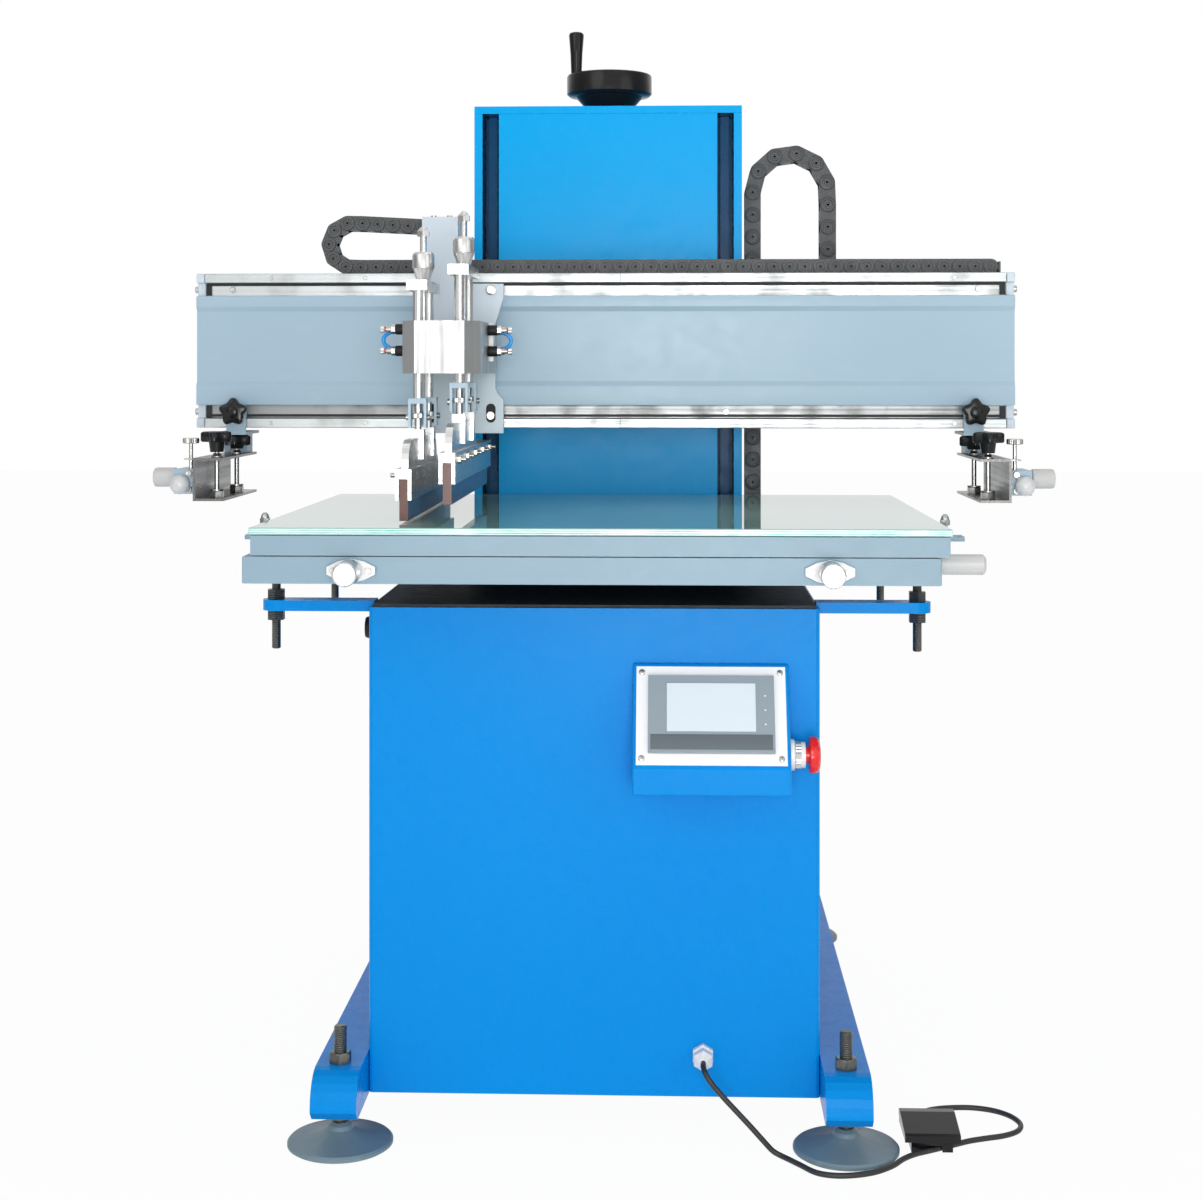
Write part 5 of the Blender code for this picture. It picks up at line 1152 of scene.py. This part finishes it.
class MACHINE_OT_squeegee_details(bpy.types.Operator):
    """Bolts, knurled nuts, stroke knobs and hanger windows of the two squeegees"""
    bl_idname = "machine.squeegee_details"
    bl_label = "Squeegee details"

    def execute(self, context):
        for word, body, bolt_side in (("squeegee", "squeegee", -1), ("flood", "flood_bar", 1)):
            low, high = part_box(word + "_holder")
            lift_low, lift_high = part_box(word + "_lifter")
            x = (low.x + high.x) / 2
            rod_y = (lift_low.y + ROD_INSET, lift_high.y - ROD_INSET)
            mid_y = (rod_y[0] + rod_y[1]) / 2
            bm = bmesh.new()
            face = high.x if bolt_side > 0 else low.x
            for i in range(5):
                y = low.y + 0.030 + i * (high.y - low.y - 0.060) / 4
                place = (face + bolt_side * SEAT, y, low.z + CHANNEL_RISE - 0.008)
                hex_nut(bm, place, (bolt_side, 0, 0), 0.0042, 0.0035)
                turn_rings(bm, [(0.0035, 0.0025), (0.0085, 0.0025), (0.009, 0.002)], place,
                           (bolt_side, 0, 0), 12)
            for y in rod_y:
                for side in (-1, 1):
                    place = (x + side * (0.0105 + SEAT), y, lift_low.z + 0.012)
                    socket_screw(bm, place, (side, 0, 0), 0.0035)
            place_piece(word + "_bolts", bm, "screw", body)
            bm = bmesh.new()
            for y in rod_y:
                turn_rings(bm, [(0.0, 0.0066), (0.0006, 0.0074, "knurl"), (0.0054, 0.0074, "knurl"),
                                (0.006, 0.0066)], (x, y, low.z + THUMB_NUT_RISE), UP, 96)
            place_piece(word + "_thumb_nuts", bm, "turned", body)
            bm = bmesh.new()
            turn_rings(bm, [(0.0015, 0.0080), (0.0160, 0.0122), (0.0164, 0.0131), (0.0310, 0.0131),
                            (0.0325, 0.0124), (0.0332, 0.0095), (0.0352, 0.0090), (0.0356, 0.0050)],
                       (x, mid_y, lift_low.z + STROKE_LINK_RISE), UP, 96)
            place_piece(word + "_stroke_knob", bm, "turned", body)
            bm = bmesh.new()
            for y in rod_y:
                add_box(bm, (x - 0.0022, y - 0.0092, low.z + 0.052), (x + 0.0022, y - 0.0089, low.z + 0.0575))
            place_piece(word + "_hanger_windows", bm, "dark", body)
        return {"FINISHED"}


class MACHINE_OT_clamp_details(bpy.types.Operator):
    """Screws, star knobs, adjusters and thumb screws of the screen-frame clamps"""
    bl_idname = "machine.clamp_details"
    bl_label = "Clamp details"

    def execute(self, context):
        for side, word in ((-1, "left"), (1, "right")):
            body = "clamp_" + word
            for row in ("front", "rear"):
                name = "clamp_screw_%s_%s" % (row, word)
                low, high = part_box(name)
                y = CABINET_LOW.y + (CLAMP_SCREW_FRONT if row == "front" else CLAMP_SCREW_REAR)
                self.screw(name, (side * CLAMP_SCREW_X, y, low.z), high.z, body)
            self.adjuster(side, word, body)
            self.lock_knob("clamp_lock_knob_" + word, body)
        return {"FINISHED"}

    def screw(self, name, place, top, body):
        """Clamp screw: star knob over the channel, rod, nut and foot."""
        rise = top - place[2]
        bm = bmesh.new()
        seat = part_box("clamp_channel_left")[1].z - place[2]
        neck = seat + 0.0065
        turn_rings(bm, [(neck, 0.0082), (rise - 0.0130, 0.0098), (rise - 0.0125, 0.0160, "star"),
                        (rise - 0.0110, 0.0171, "star"), (rise - 0.0026, 0.0171, "star"),
                        (rise - 0.0008, 0.0162, "star"), (rise, 0.0136, "star")], place, UP, 60)
        place_piece(name + "_knob", bm, "black", body, (name,))
        bm = bmesh.new()
        turn_rings(bm, [(0.009, 0.003), (neck + 0.001, 0.003)], place, UP, 16)
        hex_nut(bm, place, UP, 0.0078, 0.0085)
        turn_rings(bm, [(0.0086, 0.0085), (0.0100, 0.0085)], place, UP, 24)
        turn_rings(bm, [(seat + 0.0002, 0.0068), (seat + 0.0018, 0.0068), (seat + 0.0028, 0.0055),
                        (seat + 0.0050, 0.0045)], place, UP, 24)
        place_piece(name + "_rod", bm, "steel", body)

    def lock_knob(self, name, body):
        """Star knob with a stepped hub, on the front of a hanger."""
        low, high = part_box(name)
        middle = (low + high) / 2
        bm = bmesh.new()
        turn_rings(bm, [(0.0, 0.0076), (0.0066, 0.0076), (0.0078, 0.0138, "star"), (0.0095, 0.0154, "star"),
                        (0.0165, 0.0157, "star"), (0.0184, 0.0150, "star"), (0.0194, 0.0128, "star"),
                        (0.0196, 0.0094), (0.0198, 0.0078), (0.0212, 0.0064), (0.0219, 0.0030)],
                   (middle.x, high.y, middle.z), FORWARD, 60)
        place_piece(name + "_star", bm, "black", body, (name,))

    def adjuster(self, side, word, body):
        """Block on the channel's end, with its ball, side knob, thumb screw and lug."""
        far = side * ADJUSTER_FAR
        y_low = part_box("clamp_channel_" + word)[0].y + 0.010
        middle = (ADJUSTER_LOW + ADJUSTER_HIGH) / 2
        bm = bmesh.new()
        pair = sorted((side * ADJUSTER_NEAR, far))
        add_box(bm, (pair[0], y_low, ADJUSTER_LOW),
                (pair[1], y_low + ADJUSTER_DEPTH, ADJUSTER_HIGH), 0.0012)
        place_piece("adjuster_block_" + word, bm, "grey", body,
                    ("clamp_adjuster_" + word,))
        bm = bmesh.new()
        rings = [(0.0, 0.006), (0.0022, 0.006)]
        for i in range(12):
            angle = math.radians(-50 + i * 136 / 11)
            rings.append((0.0112 + BALL_RADIUS * math.sin(angle), BALL_RADIUS * math.cos(angle)))
        turn_rings(bm, rings, (side * BALL_X, y_low - SEAT, middle - 0.003), FORWARD, 32)
        place_piece("adjuster_front_knob_" + word, bm, "pearl", body)
        bm = bmesh.new()
        run = ADJUSTER_END - ADJUSTER_FAR - SEAT
        turn_rings(bm, [(0.0, 0.007), (0.006, 0.007), (0.0065, 0.011), (0.0075, 0.012), (run - 0.0035, 0.012),
                        (run - 0.001, 0.0112), (run, 0.0095)],
                   (far + side * SEAT, y_low + 0.042, middle + 0.003), (side, 0, 0), 32)
        place_piece("adjuster_side_knob_" + word, bm, "ivory", body)
        bm = bmesh.new()
        x = side * THUMB_SCREW_X
        y = y_low + 0.010
        turn_rings(bm, [(ADJUSTER_HIGH - 0.001, 0.0024), (THUMB_SCREW_TOP, 0.0024)], (x, y, 0.0), UP, 16)
        turn_rings(bm, [(0.0, 0.0088), (0.0007, 0.0096, "knurl"), (0.0058, 0.0096, "knurl"),
                        (0.0065, 0.0088)], (x, y, THUMB_SCREW_TOP), UP, 96)
        pair = sorted((side * LUG_NEAR, side * LUG_FAR))
        add_box(bm, (pair[0], y - 0.009, LUG_LOW), (pair[1], y + 0.009, LUG_HIGH), 0.0004)
        for z in (ADJUSTER_LOW + 0.006, ADJUSTER_HIGH - 0.005):
            socket_screw(bm, (x, y_low - SEAT, z), FORWARD, 0.0042)
        place_piece("adjuster_thumb_screw_" + word, bm, "screw", body)


class MACHINE_OT_console_details(bpy.types.Operator):
    """Screen, lamps, lower band and screws of the console, and the stop's nut and head"""
    bl_idname = "machine.console_details"
    bl_label = "Console details"

    def execute(self, context):
        low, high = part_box("console_panel")
        rise = Vector(PANEL_RISE).normalized()
        out = Vector((0.0, -rise.z, rise.y))
        centre = (low + high) / 2 + out * (PANEL_THICK / 2)
        matrix = Matrix(((1.0, 0.0, 0.0, centre.x), (0.0, rise.y, out.y, centre.y),
                         (0.0, rise.z, out.z, centre.z), (0.0, 0.0, 0.0, 1.0)))
        face = DISPLAY_FACE
        bm = bmesh.new()
        add_box(bm, (-0.0482, -0.0202, face - 0.00085), (0.0482, 0.0342, face - 0.00045), 0.0, matrix)
        place_piece("screen", bm, "screen", "base")
        bm = bmesh.new()
        half_x = (high.x - low.x) / 2 - PANEL_SCREW_INSET
        for x in (-half_x, half_x):
            for y in (-PANEL_SCREW_RISE, PANEL_SCREW_RISE):
                place = matrix @ Vector((x, y, 0.0001))
                turn_rings(bm, [(0.0, 0.0034), (0.0012, 0.0032), (0.0018, 0.0022)], place, out, 20)
        place_piece("panel_screws", bm, "screw", "base")
        bm = bmesh.new()
        for i in range(3):
            place = matrix @ Vector((0.0585, 0.020 - i * LAMP_STEP, face))
            turn_rings(bm, [(0.0, 0.0011), (0.0003, 0.0010)], place, out, 12)
        place_piece("display_lamps", bm, "white", "base")
        bm = bmesh.new()
        add_box(bm, (-0.066, -0.0405, face), (0.066, -0.0235, face + 0.0004), 0.0002, matrix)
        place_piece("display_lower_band", bm, "slate_low", "base")
        self.stop_rings()
        return {"FINISHED"}

    def stop_rings(self):
        """Knurled nut and mushroom head of the emergency stop."""
        low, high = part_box("stop_collar")
        middle = (low + high) / 2
        bm = bmesh.new()
        turn_rings(bm, [(0.005, 0.0138), (0.0055, 0.0146, "knurl"), (0.0110, 0.0146, "knurl"),
                        (0.0115, 0.0138)], (low.x, middle.y, middle.z), (1, 0, 0), 96)
        place_piece("stop_lock_nut", bm, "turned", "base")
        low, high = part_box("stop_button")
        bm = bmesh.new()
        head = 0.020
        base = high.x - low.x - 0.012
        turn_rings(bm, [(base, head * 0.93), (base + 0.001, head * 0.98, "ribs"),
                        (base + 0.006, head * 0.99, "ribs"), (base + 0.009, head * 0.93),
                        (base + 0.0112, head * 0.75), (base + 0.012, head * 0.45)],
                   (low.x, middle.y, middle.z), (1, 0, 0), 96)
        turn_rings(bm, [(0.0, 0.009), (base + 0.0005, 0.009)], (low.x, middle.y, middle.z), (1, 0, 0), 24)
        place_piece("stop_mushroom", bm, "red", "stop_button", ("stop_button",))


class MACHINE_OT_table_details(bpy.types.Operator):
    """Faces and screws of the knob flanges, and acorn nuts of the side posts"""
    bl_idname = "machine.table_details"
    bl_label = "Table details"

    def execute(self, context):
        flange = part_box("table_base")[0].y
        screws = bmesh.new()
        plates = bmesh.new()
        for word in ("left", "right"):
            low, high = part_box("table_knob_" + word)
            middle = (low + high) / 2
            for step in (-FLANGE_SCREW_X, FLANGE_SCREW_X):
                socket_screw(screws, (middle.x + step, flange - SEAT, middle.z), FORWARD, 0.0032, 0.0022)
            self.flange_plate(plates, middle.x, flange, middle.z)
        place_piece("flange_screws", screws, "screw", "base")
        place_piece("flange_faces", plates, "white", "base")
        bm = bmesh.new()
        plate_low, plate_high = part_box("table_plate")
        y = CABINET_LOW.y + ACORN_BACK
        for x in (plate_low.x + ACORN_INSET, plate_high.x - ACORN_INSET):
            hex_nut(bm, (x, y, GLASS_HIGH.z - 0.0062), UP, 0.0053, 0.0062)
            turn_rings(bm, [(0.0, 0.0047), (0.0025, 0.0044), (0.0045, 0.0033), (0.0060, 0.0014)],
                       (x, y, GLASS_HIGH.z), UP, 24)
        place_piece("acorn_nuts", bm, "screw", "table_top")
        return {"FINISHED"}

    def flange_plate(self, bm, x, y, z):
        """Thin lozenge round a knob's shaft."""
        outline = [(0, 0.013), (-0.014, 0.010), (-0.026, 0.004), (-0.026, -0.004), (-0.014, -0.010),
                   (0, -0.013), (0.014, -0.010), (0.026, -0.004), (0.026, 0.004), (0.014, 0.010)]
        rings = [[bm.verts.new((x + u * 0.995, level, z + v * 0.99)) for u, v in outline]
                 for level in (y + 0.0005, y - 0.0001)]
        close_rings(bm, rings)


class MACHINE_PT_sidebar(bpy.types.Panel):
    """Sizes, colours and pieces of the machine"""
    bl_idname = "MACHINE_PT_sidebar"
    bl_label = "Printing machine"
    bl_space_type = "VIEW_3D"
    bl_region_type = "UI"
    bl_category = "Printing machine"

    def draw(self, context):
        machine = settings()
        for title, group in (("Finishes", machine.finishes), ("Details", machine.details),
                             ("Stage", machine.stage)):
            box = self.layout.box()
            box.label(text=title)
            for name in group.__annotations__:
                box.prop(group, name)
        column = self.layout.column(align=True)
        for operator in PIECES:
            column.operator(operator.bl_idname)


class MachineSettings(bpy.types.PropertyGroup):
    """All settings of the machine."""
    finishes: PointerProperty(type=FinishSettings)
    details: PointerProperty(type=DetailSettings)
    stage: PointerProperty(type=StageSettings)


PIECES = (MACHINE_OT_stage, MACHINE_OT_pedal_cord, MACHINE_OT_frame_finishes, MACHINE_OT_drag_chains,
          MACHINE_OT_handwheel, MACHINE_OT_levelling_feet, MACHINE_OT_beam_details,
          MACHINE_OT_carriage_details, MACHINE_OT_squeegee_details, MACHINE_OT_clamp_details,
          MACHINE_OT_console_details, MACHINE_OT_table_details)
CLASSES = (FinishSettings, DetailSettings, StageSettings, MachineSettings, *PIECES, MACHINE_PT_sidebar)


def register():
    for item in CLASSES:
        bpy.utils.register_class(item)
    bpy.types.Scene.printing_machine = PointerProperty(type=MachineSettings)


def unregister():
    del bpy.types.Scene.printing_machine
    for item in reversed(CLASSES):
        bpy.utils.unregister_class(item)


def main():
    register()
    bpy.ops.machine.stage()
    bpy.ops.machine.pedal_cord()
    bpy.ops.machine.frame_finishes()
    bpy.ops.machine.drag_chains()
    bpy.ops.machine.handwheel()
    bpy.ops.machine.levelling_feet()
    bpy.ops.machine.beam_details()
    bpy.ops.machine.carriage_details()
    bpy.ops.machine.squeegee_details()
    bpy.ops.machine.clamp_details()
    bpy.ops.machine.console_details()
    bpy.ops.machine.table_details()


if __name__ == "__main__":
    main()
